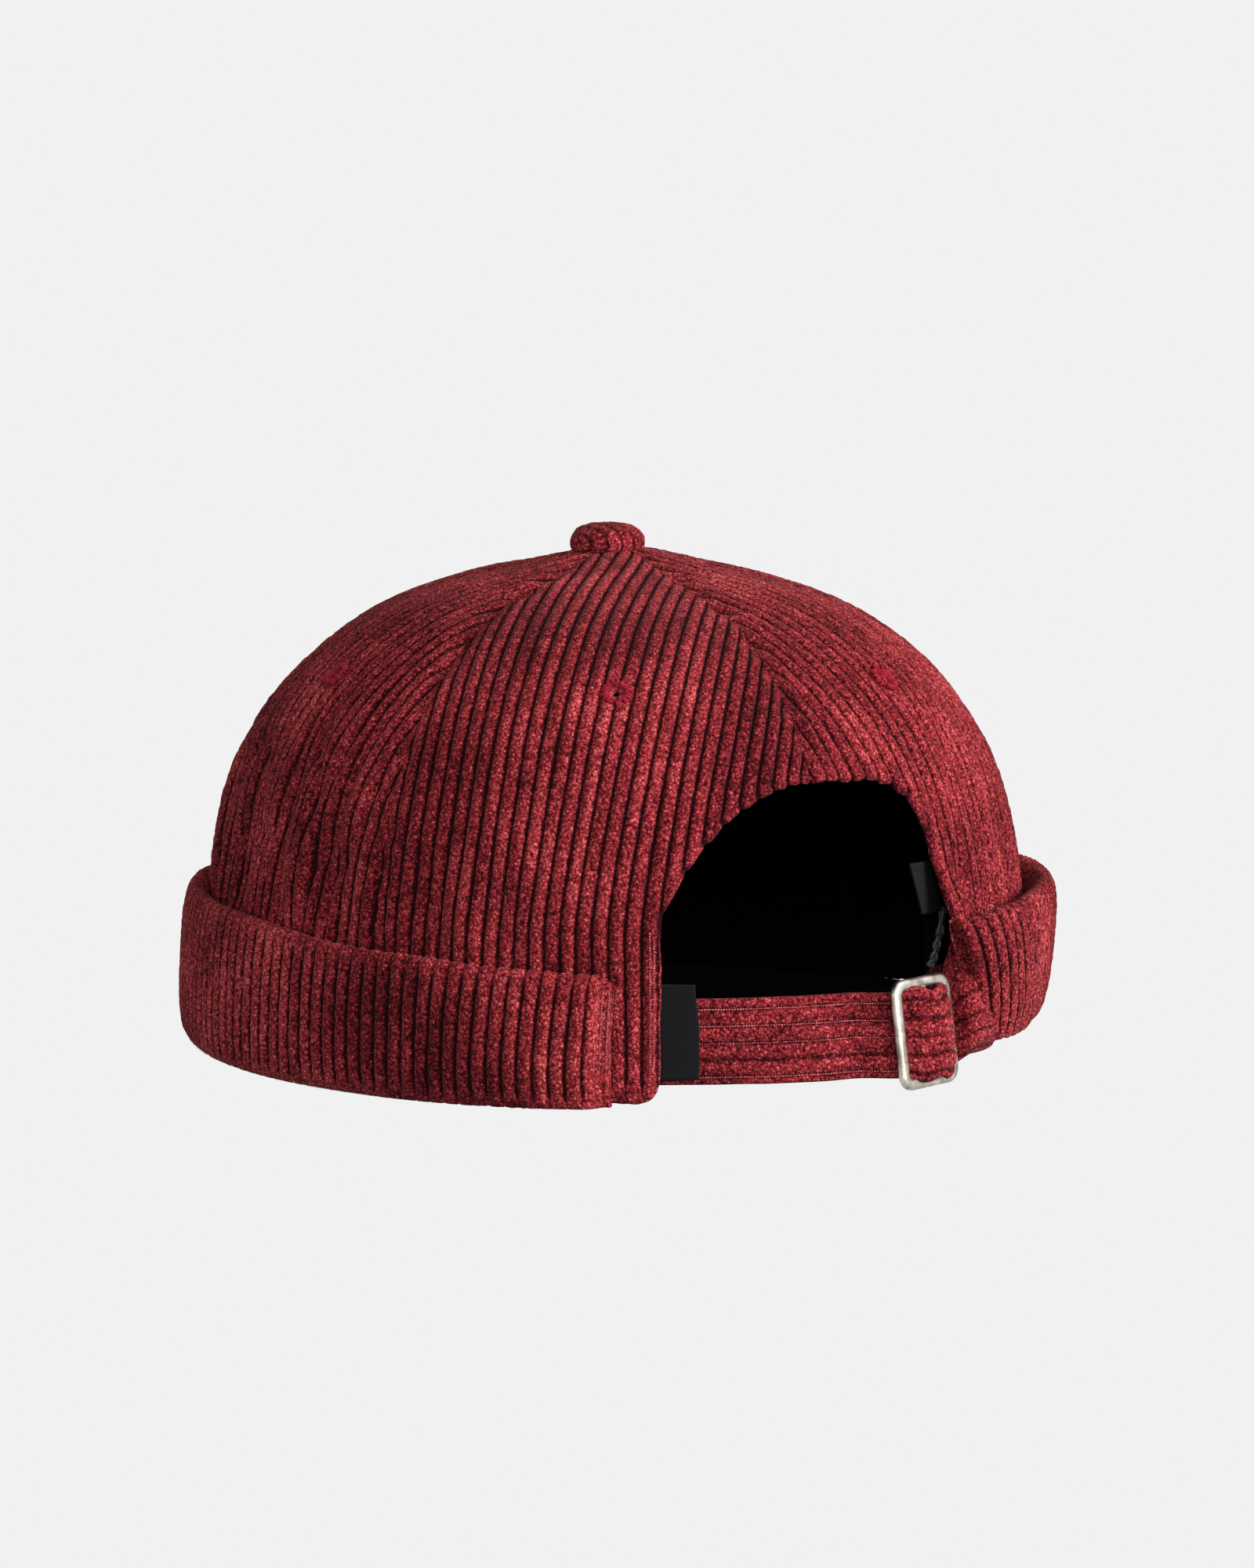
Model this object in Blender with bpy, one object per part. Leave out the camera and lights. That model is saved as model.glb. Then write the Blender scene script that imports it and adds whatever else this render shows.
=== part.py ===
"""A brimless docker cap: six cloth panels, a turned-up cuff and an arched back opening with a buckled strap.

Metres, +Z up. The cap stands on z = 0, its front faces -Y and its back opening faces +Y.
An azimuth is in degrees, counted from the back centre towards the wearer's left, which is +X.
A radius is the one before the head's oval, which stretches it front to back and narrows it side to side.
"""

import math

import bmesh
import bpy
import numpy as np
from mathutils import Matrix, Vector

# Clearances
GAP = 0.0003  # between two pieces that touch on the real cap

# Fine steps for each row of a smooth curve
SMOOTH_STEPS = 40

# Head size and cloth
CROWN_RADIUS = 0.0933  # outer face of the crown at its lower edge
CROWN_HEIGHT = 0.1105  # floor to the top of the panels
CLOTH = 0.002  # corduroy with its backing
OVAL_LENGTH = 1.02
OVAL_WIDTH = 0.98
HEM_HEIGHT = 0.0008  # the panels' lower edge above the floor
TOP_HOLE = 0.004  # radius at which the panels end, under the button

# Panels
SEAM_AZIMUTHS = (0.0, 64.0, 124.0, 182.0, 240.0, 300.0)
PANEL_BULGE = 0.0006  # the middle of a panel stands this far proud
SEAM_DEPTH = 0.0011
SEAM_REACH = 0.0035  # how far from the seam its groove reaches
RELIEF_FADE = 0.33  # share of the crown's radius within which its relief dies out towards the button
PANEL_ROWS = 18
PANEL_COLUMNS = (0.0, 0.05, 0.13, 0.25, 0.38, 0.5, 0.62, 0.75, 0.87, 0.95, 1.0)

# The crown's side from the button to the hem, as shares of its radius and of its height
PROFILE = (
    # radius, height
    (0.043, 1.000),
    (0.214, 0.974),
    (0.428, 0.932),
    (0.588, 0.881),
    (0.717, 0.810),
    (0.824, 0.723),
    (0.909, 0.614),
    (0.968, 0.478),
    (0.995, 0.348),
    (1.005, 0.226),
    (1.003, 0.110),
    (1.000, 0.000),
)

# How far the hem rises towards the arch's right edge, as a share of the cuff's height
HEM_ROWS = (
    # azimuth, rise
    (0.0, 0.00),
    (240.0, 0.00),
    (268.0, 0.06),
    (292.0, 0.17),
    (318.0, 0.22),
    (337.0, 0.23),
    (360.0, 0.23),
)

# Dents and gathers of the panels: azimuth, height and half height as shares of the crown's height,
# half width in degrees, depth as a share of the cloth
DENTS = (
    # azimuth, height, half_width, half_height, depth
    (46.0, 0.36, 3.0, 0.08, 0.75),
    (57.0, 0.38, 3.5, 0.10, 0.90),
    (74.0, 0.42, 4.0, 0.12, 0.80),
    (97.0, 0.40, 5.0, 0.12, 0.80),
    (141.0, 0.42, 5.0, 0.13, 0.80),
    (204.0, 0.40, 6.0, 0.12, 0.90),
    (262.0, 0.44, 5.0, 0.13, 0.80),
    (318.0, 0.52, 4.5, 0.16, 0.70),
)

# The arched back opening
ARCH_MIDDLE = 2.0
ARCH_HALF_WIDTH = 22.5  # degrees
ARCH_TOP = 0.067
ARCH_CORNER = 0.004  # rounding of the strips' lower corners
ARCH_CORNER_STEPS = 4
ARCH_STEPS = 26

# Its outline from the top of its upright left side over to the right one, as shares of its half width
# and of its height
ARCH_ROWS = (
    # across, level
    (1.000, 0.510),
    (0.965, 0.600),
    (0.905, 0.665),
    (0.820, 0.740),
    (0.690, 0.820),
    (0.510, 0.900),
    (0.330, 0.952),
    (0.100, 0.990),
    (-0.130, 1.000),
    (-0.370, 0.996),
    (-0.590, 0.978),
    (-0.740, 0.942),
    (-0.845, 0.885),
    (-0.920, 0.820),
    (-0.962, 0.740),
    (-0.982, 0.660),
    (-0.994, 0.580),
    (-1.000, 0.510),
)
ARCH_REACH = (1.3, 0.6)  # how far the cutter reaches out and in, as shares of the crown's radius

# Turned-up cuff
CUFF_HEIGHT = 0.033
CUFF_PROUD = 0.0066  # from the crown's face to the cuff's
CUFF_CLOTH = 0.0017
CUFF_FLAT = 0.0004  # how much of the lower fold the cap's weight presses flat
CUFF_LEAN = 0.0022
CUFF_STATIONS = 56
CUFF_CROWDING = 0.7  # how much closer its stations lie at its ends
CUFF_SQUARENESS = 2.6  # 2 is an ellipse, more is squarer
CUFF_SLOT = 20.0  # half angle of the slot where its cloth ends, against the crown
CUFF_LOOP_STEPS = 13

# Its course round the crown, from its left end over the front to its right end: lift and height are
# shares of the cuff's height, proud of its depth, lean of the lean, and lead is in degrees
CUFF_ROWS = (
    # azimuth, lift, height, proud, lean, lead, over_strap
    (31.0, 0.000, 0.870, 0.680, 0.20, 0.0, 0.0),
    (34.0, 0.000, 0.880, 0.860, 0.30, 0.0, 0.0),
    (42.0, 0.000, 0.905, 1.000, 0.50, 0.0, 0.0),
    (60.0, 0.000, 0.950, 1.000, 0.60, 0.0, 0.0),
    (88.0, 0.000, 1.035, 1.000, 0.90, 0.0, 0.0),
    (125.0, 0.015, 1.040, 1.000, 0.90, 0.0, 0.0),
    (160.0, 0.000, 1.000, 1.040, 0.50, 0.0, 0.0),
    (230.0, 0.000, 1.020, 1.000, 0.00, 0.0, 0.0),
    (265.0, 0.060, 1.000, 0.880, -0.80, 0.0, 0.0),
    (292.0, 0.205, 0.940, 0.820, -1.60, 0.0, 0.0),
    (318.0, 0.235, 0.915, 0.900, -1.30, 1.0, 0.3),
    (330.0, 0.240, 0.900, 0.860, -0.70, 2.5, 1.0),
    (336.6, 0.245, 0.890, 0.680, -0.20, 4.0, 1.0),
)

# Button
BUTTON_RADIUS = 0.0085
BUTTON_HEIGHT = 0.0058
BUTTON_OFFSET = (0.0017, -0.0009)  # it is sewn a little off the crown's axis

# Its side from the top to the underside, as shares of its radius and height
BUTTON_PROFILE = (
    # radius, height
    (0.30, 0.985),
    (0.58, 0.920),
    (0.82, 0.760),
    (0.97, 0.500),
    (1.00, 0.270),
    (0.94, 0.060),
    (0.66, 0.000),
)
BUTTON_SIDES = 20

# Eyelets
EYELET_AZIMUTHS = (30.0, 90.5, 153.0, 211.0, 270.0, 334.0)
EYELET_HEIGHT = 0.0855
EYELET_RADIUS = 0.0039
EYELET_HOLE = 0.00115
EYELET_COLLAR = 0.0019
EYELET_THREAD = 0.0008  # thickness of the embroidered ring
EYELET_SIDES = 14

# Buckle
BUCKLE_AZIMUTH = -12.6
BUCKLE_TURN = 7.0  # degrees by which it faces further to the wearer's right than the crown does
BUCKLE_WIDTH = 0.0196
BUCKLE_HEIGHT = 0.0238
BUCKLE_MIDDLE = 0.0127  # height of its centre
BUCKLE_BAR = 0.0022
BUCKLE_THICK = 0.0018
BUCKLE_CORNER = 0.0022
BUCKLE_CORNER_STEPS = 4
BUCKLE_BAR_SIDES = 8
STRAP_LEAN = 8.0  # degrees by which the strap and buckle stand out at the bottom

# Across a strap or tab: place as a share of its width, thickness as a share of its own
RIBBON_SECTION = (
    # place, thickness
    (-0.50, 0.35),
    (-0.44, 1.00),
    (0.00, 1.00),
    (0.44, 1.00),
    (0.50, 0.35),
)

# Back strap
STRAP_WIDTH = 0.0186
STRAP_THICK = 0.0020
STRAP_END_RISE = 0.0026  # how much higher its free end lies
STRAP_SEWN = 0.0065  # length of the strap behind the arch's left edge
STRAP_TUCK = 0.0060  # length of its free end under the cuff
STRAP_STATIONS = 36
STRAP_APPROACH = 8  # rows of its route from the sewn end to the buckle
STRAP_DIP = 0.75  # where it starts to dip under the frame, from the buckle's centre, as a share of its width

# Its route through the buckle, as shares of half the frame's width and of the heights at which it passes
# under the frame and over the middle bar
STRAP_THREADING = (
    # along, under, over
    (-0.95, 1.0, 0.00),
    (-0.50, 0.0, 0.12),
    (-0.05, 0.0, 1.00),
    (0.28, 0.0, 0.86),
    (0.58, 0.0, 0.00),
    (0.95, 1.0, 0.00),
)

# Cloth tab that holds the buckle
TAB_THICK = 0.0008
TAB_WIDTH = 0.0176
TAB_SEWN = 0.0070  # its length behind the arch's right edge
TAB_STATIONS = 34
TAB_SEWN_ROWS = (0.15, 0.55, 1.0)  # rows of its sewn end, as shares of that length

# Its outer half from the buckle's bar to the crown: how far along as a share of the buckle's width,
# how far out from its middle plane and how far apart its two halves are as shares of its thickness
TAB_ROWS = (
    # along, out, apart
    (0.000, 0.97, 1.94),
    (0.082, 0.78, 1.72),
    (0.143, 0.06, 1.22),
    (0.200, -0.83, 0.89),
    (0.296, -1.78, 0.81),
    (0.444, -2.61, 0.75),
)

# Woven label folded out of the arch's left edge
LABEL_THICK = 0.0007
LABEL_WIDTH = 0.0092  # what shows of it
LABEL_HEIGHT = 0.0208
LABEL_LOW = 0.0048
LABEL_SEWN = 0.0030
LABEL_STATIONS = 6

# Sweatband inside the crown
BAND_THICK = 0.0009
BAND_LOW = 0.003
BAND_HEIGHT = 0.0315
BAND_LEVELS = (0.0, 0.5, 1.0)  # its rows of points, as shares of that height
BAND_STATIONS = 44
BAND_CROWDING = 0.8

# Which sewn ends it passes inside of, as shares
BAND_ROWS = (
    # azimuth, strap, tab
    (26.0, 1.0, 0.0),
    (30.0, 1.0, 0.0),
    (37.0, 0.0, 0.0),
    (322.0, 0.0, 0.0),
    (332.5, 0.0, 1.0),
    (339.0, 0.0, 1.0),
)

# Satin tag inside the arch's right edge
TAG_WIDTH = 0.0068  # what shows of its upper edge
TAG_SLANT = 0.0028  # how much less its lower edge shows
TAG_LOW = 0.0362
TAG_HEIGHT = 0.0113
TAG_THICK = 0.0005
TAG_SEWN = 0.0030
TAG_STATIONS = 4

# Colours, roughness and metallic values
CORDUROY = ((0.33, 0.045, 0.055, 1.0), 0.9, 0.0)
EYELET_RED = ((0.45, 0.04, 0.07, 1.0), 0.6, 0.0)
METAL = ((0.62, 0.60, 0.57, 1.0), 0.32, 1.0)
BLACK_TWILL = ((0.02, 0.02, 0.022, 1.0), 0.7, 0.0)
BLACK_BAND = ((0.012, 0.012, 0.013, 1.0), 0.8, 0.0)
GREY_SATIN = ((0.06, 0.055, 0.058, 1.0), 0.45, 0.0)


def run_lengths(rows):
    """Distance along the rows up to each of them, measured by their first two columns."""
    steps = np.linalg.norm(np.diff(rows[:, :2], axis=0), axis=1)
    return np.concatenate([[0.0], np.cumsum(steps)])


def smooth(points, count):
    """Count rows, evenly spaced, along a smooth curve through the given ones."""
    knots = np.array(points, float)
    chord = run_lengths(knots)
    slopes = np.gradient(knots, chord, axis=0)
    fine = np.linspace(0.0, chord[-1], SMOOTH_STEPS * len(knots))
    index = np.clip(np.searchsorted(chord, fine, side="right") - 1, 0, len(knots) - 2)
    span = (chord[index + 1] - chord[index])[:, None]
    t = (fine - chord[index])[:, None] / span
    curve = (
        (1 + 2 * t) * (1 - t) ** 2 * knots[index]
        + t * (1 - t) ** 2 * span * slopes[index]
        + t**2 * (3 - 2 * t) * knots[index + 1]
        + t**2 * (t - 1) * span * slopes[index + 1]
    )
    run = run_lengths(curve)
    even = np.linspace(0.0, run[-1], count)
    return np.stack([np.interp(even, run, curve[:, k]) for k in range(curve.shape[1])], axis=1)


def blend(share):
    """0 to 1 with level ends."""
    share = min(max(share, 0.0), 1.0)
    return share * share * (3 - 2 * share)


def crowded(step, count, crowding):
    """0 to 1 in steps that are shorter at both ends."""
    share = step / (count - 1)
    return share - crowding * math.sin(2 * math.pi * share) / (2 * math.pi)


def row_at(table, azimuth):
    """The columns of a table after its first, which is azimuth, eased between its rows."""
    for low, high in zip(table, table[1:]):
        if azimuth <= high[0]:
            break
    share = blend((azimuth - low[0]) / (high[0] - low[0]))
    return [a + (b - a) * share for a, b in zip(low[1:], high[1:])]


def plan(azimuth, radius, height=0.0):
    """A point at this azimuth and radius on the head's oval."""
    angle = math.radians(azimuth)
    return Vector((OVAL_WIDTH * radius * math.sin(angle), OVAL_LENGTH * radius * math.cos(angle), height))


def degrees_of(length):
    return math.degrees(length / CROWN_RADIUS)


def material(name, look):
    colour, roughness, metallic = look
    made = bpy.data.materials.new(name)
    made.use_nodes = True
    shader = made.node_tree.nodes["Principled BSDF"]
    shader.inputs["Base Color"].default_value = colour
    shader.inputs["Roughness"].default_value = roughness
    shader.inputs["Metallic"].default_value = metallic
    return made


def add_object(name, mesh, look):
    body = bpy.data.objects.new(name, mesh)
    bpy.context.scene.collection.objects.link(body)
    body.data.materials.append(look)
    mesh.shade_smooth()
    return body


def grid_faces(first, rows, columns, flip):
    """Quads over a grid of points that are numbered row by row from first."""
    faces = []
    for i in range(rows - 1):
        for k in range(columns - 1):
            a = first + i * columns + k
            quad = (a, a + 1, a + columns + 1, a + columns)
            faces.append(quad[::-1] if flip else quad)
    return faces


def sheet(name, outer, inner, look):
    """A closed cloth wall between two grids of points of the same size."""
    rows, columns = len(outer), len(outer[0])
    count = rows * columns
    points = [p for row in outer for p in row] + [p for row in inner for p in row]
    faces = grid_faces(0, rows, columns, False) + grid_faces(count, rows, columns, True)
    rim = [k for k in range(columns)]
    rim += [i * columns + columns - 1 for i in range(1, rows)]
    rim += [(rows - 1) * columns + k for k in range(columns - 2, -1, -1)]
    rim += [i * columns for i in range(rows - 2, 0, -1)]
    for a, b in zip(rim, rim[1:] + rim[:1]):
        faces.append((b, a, count + a, count + b))
    mesh = bpy.data.meshes.new(name)
    mesh.from_pydata([tuple(p) for p in points], [], faces)
    return add_object(name, face_outwards(mesh), look)


def lathe(name, profile, sides, look):
    """A turned solid: the profile is (radius, height) from the top round to the underside, closed at the
    axis where its ends are, or closed on itself where its first and last points meet."""
    ring = profile[0] == profile[-1]
    rounds = profile[:-1] if ring else profile
    points = []
    for radius, height in rounds:
        for k in range(sides):
            turn = 2 * math.pi * k / sides
            points.append((radius * math.cos(turn), radius * math.sin(turn), height))
    faces = []
    for i in range(len(rounds) if ring else len(rounds) - 1):
        for k in range(sides):
            here, there = i * sides, (i + 1) % len(rounds) * sides
            step = (k + 1) % sides
            faces.append((here + k, there + k, there + step, here + step))
    if not ring:
        faces.append(tuple(range(sides)))
        faces.append(tuple(range(len(points) - 1, len(points) - sides - 1, -1)))
    mesh = bpy.data.meshes.new(name)
    mesh.from_pydata(points, [], faces)
    return add_object(name, face_outwards(mesh), look)


def face_outwards(mesh):
    shape = bmesh.new()
    shape.from_mesh(mesh)
    bmesh.ops.recalc_face_normals(shape, faces=shape.faces)
    shape.to_mesh(mesh)
    shape.free()
    return mesh


def cut(body, cutter):
    """Takes the cutter out of the body and marks it as a guide."""
    cutter.hide_render = True
    cutter.display_type = "WIRE"
    boolean = body.modifiers.new("cut " + cutter.name, "BOOLEAN")
    boolean.operation = "DIFFERENCE"
    boolean.object = cutter


def crown_profile():
    """Radius, height and outward normal at even steps from the button to the hem."""
    rows = [
        (r * CROWN_RADIUS, HEM_HEIGHT + h * (CROWN_HEIGHT - HEM_HEIGHT))
        for r, h in PROFILE
    ]
    rows[0] = (TOP_HOLE, CROWN_HEIGHT)
    points = smooth(rows, PANEL_ROWS)
    along = np.gradient(points, axis=0)
    along /= np.linalg.norm(along, axis=1)[:, None]
    return [(p[0], p[1], -d[1], d[0]) for p, d in zip(points, along)]


def crown_relief(azimuth, height, share, radius, width):
    """How far the crown's face stands out at a place across a panel, from its bulge, seams and dents."""
    seam = min(share, 1 - share) * math.radians(width) * radius
    out = PANEL_BULGE * math.sin(math.pi * share)
    out -= SEAM_DEPTH * (1 - blend(seam / SEAM_REACH))
    for at, level, half_width, half_height, depth in DENTS:
        turn = (azimuth - at + 180) % 360 - 180
        reach = (turn / half_width) ** 2 + ((height / CROWN_HEIGHT - level) / half_height) ** 2
        out -= depth * CLOTH * math.exp(-reach)
    return out


def lifted(azimuth, height):
    """A height of the crown's lower part, raised with the hem."""
    rise, = row_at(HEM_ROWS, azimuth)
    return height + rise * CUFF_HEIGHT * (1 - blend(height / CUFF_HEIGHT))


def crown_panel(number, look):
    start = SEAM_AZIMUTHS[number]
    width = (SEAM_AZIMUTHS[(number + 1) % len(SEAM_AZIMUTHS)] - start) % 360
    outer, inner = [], []
    for radius, height, out_r, out_z in crown_profile():
        edge = math.degrees(GAP / 2 / radius)
        outer_row, inner_row = [], []
        for share in PANEL_COLUMNS:
            azimuth = start + edge + share * (width - 2 * edge)
            relief = crown_relief(azimuth, height, share, radius, width)
            relief *= blend(radius / (RELIEF_FADE * CROWN_RADIUS))
            level = lifted(azimuth, height)
            for row, depth in ((outer_row, relief), (inner_row, relief - CLOTH)):
                row.append(plan(azimuth, radius + out_r * depth, level + out_z * depth))
        outer.append(outer_row)
        inner.append(inner_row)
    return sheet(f"crown_panel_{number + 1}", outer, inner, look)


def arch_cutter():
    """A wedge whose outline is the arch, with its lower corners rounded outwards."""
    corner = [(1 + degrees_of(ARCH_CORNER) / ARCH_HALF_WIDTH, -CUFF_HEIGHT)]
    for k in range(ARCH_CORNER_STEPS + 1):
        turn = math.pi / 2 * k / ARCH_CORNER_STEPS
        spread = degrees_of(ARCH_CORNER * (1 - math.sin(turn)))
        corner.append((1 + spread / ARCH_HALF_WIDTH, HEM_HEIGHT + ARCH_CORNER * (1 - math.cos(turn))))
    over = [(across, level * ARCH_TOP) for across, level in smooth(ARCH_ROWS, ARCH_STEPS)]
    shape = corner + over + [(-across, z) for across, z in reversed(corner)]
    outline = [(ARCH_MIDDLE + ARCH_HALF_WIDTH * across, z) for across, z in shape]
    points = [plan(a, CROWN_RADIUS * reach, z) for reach in ARCH_REACH for a, z in outline]
    count = len(outline)
    faces = []
    for k in range(count):
        step = (k + 1) % count
        faces.append((k, step, count + step, count + k))
    for first in (0, count):
        for k in range(count // 2 - 1):
            a, b = first + k, first + count - 1 - k
            faces.append((a, a + 1, b - 1, b))
    mesh = bpy.data.meshes.new("arch_guide")
    mesh.from_pydata([tuple(p) for p in points], [], faces)
    guide = bpy.data.objects.new("arch_guide", face_outwards(mesh))
    bpy.context.scene.collection.objects.link(guide)
    return guide


def crown_at(height):
    """Radius of the crown's plain face at a height, with its normal's outward and upward shares."""
    rows = crown_profile()
    falling = [-row[1] for row in rows]
    return [float(np.interp(-height, falling, [row[k] for row in rows])) for k in (0, 2, 3)]


def surface_at(azimuth, height):
    """Point and outward normal of the crown's plain face at an azimuth and a height."""
    radius, out_r, out_z = crown_at(height)
    point = plan(azimuth, radius + PANEL_BULGE, height)
    across = plan(azimuth + 1, radius) - plan(azimuth - 1, radius)
    level = across.cross(Vector((0, 0, 1))).normalized()
    if level.dot(point) < 0:
        level = -level
    return point, (level * out_r + Vector((0, 0, out_z))).normalized()


def stand_on(body, point, normal):
    body.matrix_world = Matrix.Translation(point) @ normal.to_track_quat("Z", "Y").to_matrix().to_4x4()


def eyelet(number, panel, look):
    """An embroidered ring on the panel's face with a collar through its hole, and that hole."""
    point, normal = surface_at(EYELET_AZIMUTHS[number], EYELET_HEIGHT)
    low, high = GAP, GAP + EYELET_THREAD
    profile = [
        (EYELET_HOLE, high),
        (EYELET_COLLAR, high + EYELET_THREAD / 4),
        (EYELET_RADIUS, low + EYELET_THREAD / 2),
        (EYELET_RADIUS, low),
        (EYELET_COLLAR, low),
        (EYELET_COLLAR, -CLOTH),
        (EYELET_HOLE, -CLOTH),
        (EYELET_HOLE, high),
    ]
    ring = lathe(f"eyelet_{number + 1}", profile, EYELET_SIDES, look)
    stand_on(ring, point, normal)
    guide_radius = EYELET_COLLAR + GAP
    guide = lathe(
        f"eyelet_guide_{number + 1}",
        [(guide_radius, 2 * CLOTH), (guide_radius, -3 * CLOTH)],
        EYELET_SIDES,
        look,
    )
    stand_on(guide, point, normal)
    cut(panel, guide)


def cuff_section(azimuth):
    """The cuff's folded cloth at one azimuth: its outer and inner loops, from slot to slot."""
    lift, tall, proud, lean, lead, over = row_at(CUFF_ROWS, azimuth)
    height = tall * CUFF_HEIGHT
    seat = crown_clear() + over * (strap_seat() - crown_clear() + STRAP_THICK + 2 * GAP)
    depth = proud * CUFF_PROUD
    low = lift * CUFF_HEIGHT
    loops = []
    for wall in (0.0, CUFF_CLOTH):
        half_depth = depth / 2 - wall
        half_height = (height + CUFF_FLAT) / 2 - wall
        middle = low - CUFF_FLAT + (height + CUFF_FLAT) / 2
        loop = []
        for k in range(CUFF_LOOP_STEPS):
            share = k / (CUFF_LOOP_STEPS - 1)
            turn = math.radians(180 + CUFF_SLOT + share * (360 - 2 * CUFF_SLOT))
            x, z = math.cos(turn), math.sin(turn)
            size = (abs(x) ** CUFF_SQUARENESS + abs(z) ** CUFF_SQUARENESS) ** (-1 / CUFF_SQUARENESS)
            out = depth / 2 + half_depth * x * size
            level = middle + half_height * z * size
            rise = (level - low) / height
            out += lean * CUFF_LEAN * (0.5 - rise) * blend(out / depth)
            loop.append(plan(azimuth + lead * rise, seat + out, max(level, wall)))
        loops.append(loop)
    return loops


def cuff(look):
    start, end = CUFF_ROWS[0][0], CUFF_ROWS[-1][0]
    sections = []
    for k in range(CUFF_STATIONS):
        sections.append(cuff_section(start + (end - start) * crowded(k, CUFF_STATIONS, CUFF_CROWDING)))
    sheet("cuff", [s[0] for s in sections], [s[1] for s in sections], look)


def button(look):
    """A cloth-covered dome that sits on the crown's top."""
    profile = [(r * BUTTON_RADIUS, h * BUTTON_HEIGHT) for r, h in BUTTON_PROFILE]
    dome = lathe("button", profile, BUTTON_SIDES, look)
    dome.location = (*BUTTON_OFFSET, CROWN_HEIGHT + 1.5 * GAP)


def crown_clear():
    """Radius that clears the crown's face at its widest."""
    return max(row[0] for row in PROFILE) * CROWN_RADIUS + PANEL_BULGE + GAP


def strap_seat():
    """Radius of the underside of a leaning strap that lies on the crown's face."""
    return crown_clear() + math.sin(math.radians(STRAP_LEAN)) * STRAP_WIDTH / 2


def buckle_frame():
    """Origin and axes of the buckle: along the strap to the wearer's right, outwards, and up."""
    radius = strap_seat() + STRAP_THICK + GAP + BUCKLE_THICK / 2
    origin = plan(BUCKLE_AZIMUTH, radius, BUCKLE_MIDDLE)
    along = plan(BUCKLE_AZIMUTH - 1, radius) - plan(BUCKLE_AZIMUTH + 1, radius)
    along = Matrix.Rotation(math.radians(BUCKLE_TURN), 3, "Z") @ along.normalized()
    level = along.cross(Vector((0, 0, 1)))
    lean = math.radians(STRAP_LEAN)
    up = Vector((0, 0, math.cos(lean))) - level * math.sin(lean)
    out = level * math.cos(lean) + Vector((0, 0, math.sin(lean)))
    return origin, along, out, up


def bar_ring(path, closed):
    """Points and faces of a bar with rounded edges along a path in the buckle's plane."""
    points, faces = [], []
    count = len(path)
    for k, (x, z) in enumerate(path):
        before = path[k - 1] if closed or k else path[k]
        after = path[(k + 1) % count] if closed or k + 1 < count else path[k]
        run = Vector((after[0] - before[0], after[1] - before[1])).normalized()
        for side in range(BUCKLE_BAR_SIDES):
            turn = 2 * math.pi * (side + 0.5) / BUCKLE_BAR_SIDES
            spread = math.cos(turn) / math.cos(math.pi / BUCKLE_BAR_SIDES) * BUCKLE_BAR / 2
            depth = math.sin(turn) / math.cos(math.pi / BUCKLE_BAR_SIDES) * BUCKLE_THICK / 2
            points.append((x + run.y * spread, depth, z - run.x * spread))
    for k in range(count if closed else count - 1):
        here, there = k * BUCKLE_BAR_SIDES, (k + 1) % count * BUCKLE_BAR_SIDES
        for side in range(BUCKLE_BAR_SIDES):
            step = (side + 1) % BUCKLE_BAR_SIDES
            faces.append((here + side, here + step, there + step, there + side))
    if not closed:
        faces.append(tuple(range(BUCKLE_BAR_SIDES)))
        faces.append(tuple(range(len(points) - 1, len(points) - BUCKLE_BAR_SIDES - 1, -1)))
    return points, faces


def buckle(look):
    """A rounded frame with a bar down its middle."""
    half_x = (BUCKLE_WIDTH - BUCKLE_BAR) / 2
    half_z = (BUCKLE_HEIGHT - BUCKLE_BAR) / 2
    path = []
    for turn_x, turn_z, start in ((1, 1, 0), (-1, 1, 90), (-1, -1, 180), (1, -1, 270)):
        for k in range(BUCKLE_CORNER_STEPS + 1):
            turn = math.radians(start + 90 * k / BUCKLE_CORNER_STEPS)
            x = turn_x * (half_x - BUCKLE_CORNER) + BUCKLE_CORNER * math.cos(turn)
            z = turn_z * (half_z - BUCKLE_CORNER) + BUCKLE_CORNER * math.sin(turn)
            path.append((x, z))
    origin, along, out, up = buckle_frame()
    place = Matrix((along, out, up)).transposed().to_4x4()
    place.translation = origin
    bodies = []
    for name, (points, faces) in (
        ("buckle", bar_ring(path, True)),
        ("buckle_bar_guide", bar_ring([(0, -half_z), (0, half_z)], False)),
    ):
        mesh = bpy.data.meshes.new(name)
        mesh.from_pydata(points, [], faces)
        body = add_object(name, face_outwards(mesh), look)
        body.matrix_world = place
        bodies.append(body)
    frame, middle_bar = bodies
    middle_bar.hide_render = True
    middle_bar.display_type = "WIRE"
    join = frame.modifiers.new("middle bar", "BOOLEAN")
    join.operation = "UNION"
    join.object = middle_bar


def ribbon(name, rows, width, thick, look):
    """A flat band: its rows are along, level out, rise and share of the lean, in the buckle's frame."""
    origin, along, out = buckle_frame()[:3]
    level_out = Vector((out.x, out.y, 0)).normalized()
    lean = math.radians(STRAP_LEAN)
    runs = np.gradient(np.array([row[:2] for row in rows]), axis=0)
    outer, inner = [], []
    for (u, n, rise, share), (run_u, run_n) in zip(rows, runs):
        turn = lean * share
        upward = Vector((0, 0, math.cos(turn))) - level_out * math.sin(turn)
        outward = upward.cross(along * run_u + level_out * run_n).normalized()
        middle = origin + along * u + level_out * n + Vector((0, 0, rise))
        outer_row, inner_row = [], []
        for place, fullness in RIBBON_SECTION:
            centre = middle + upward * (place * width)
            outer_row.append(centre + outward * (thick / 2 * fullness))
            inner_row.append(centre - outward * (thick / 2 * fullness))
        outer.append(outer_row)
        inner.append(inner_row)
    sheet(name, outer, inner, look)


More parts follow.
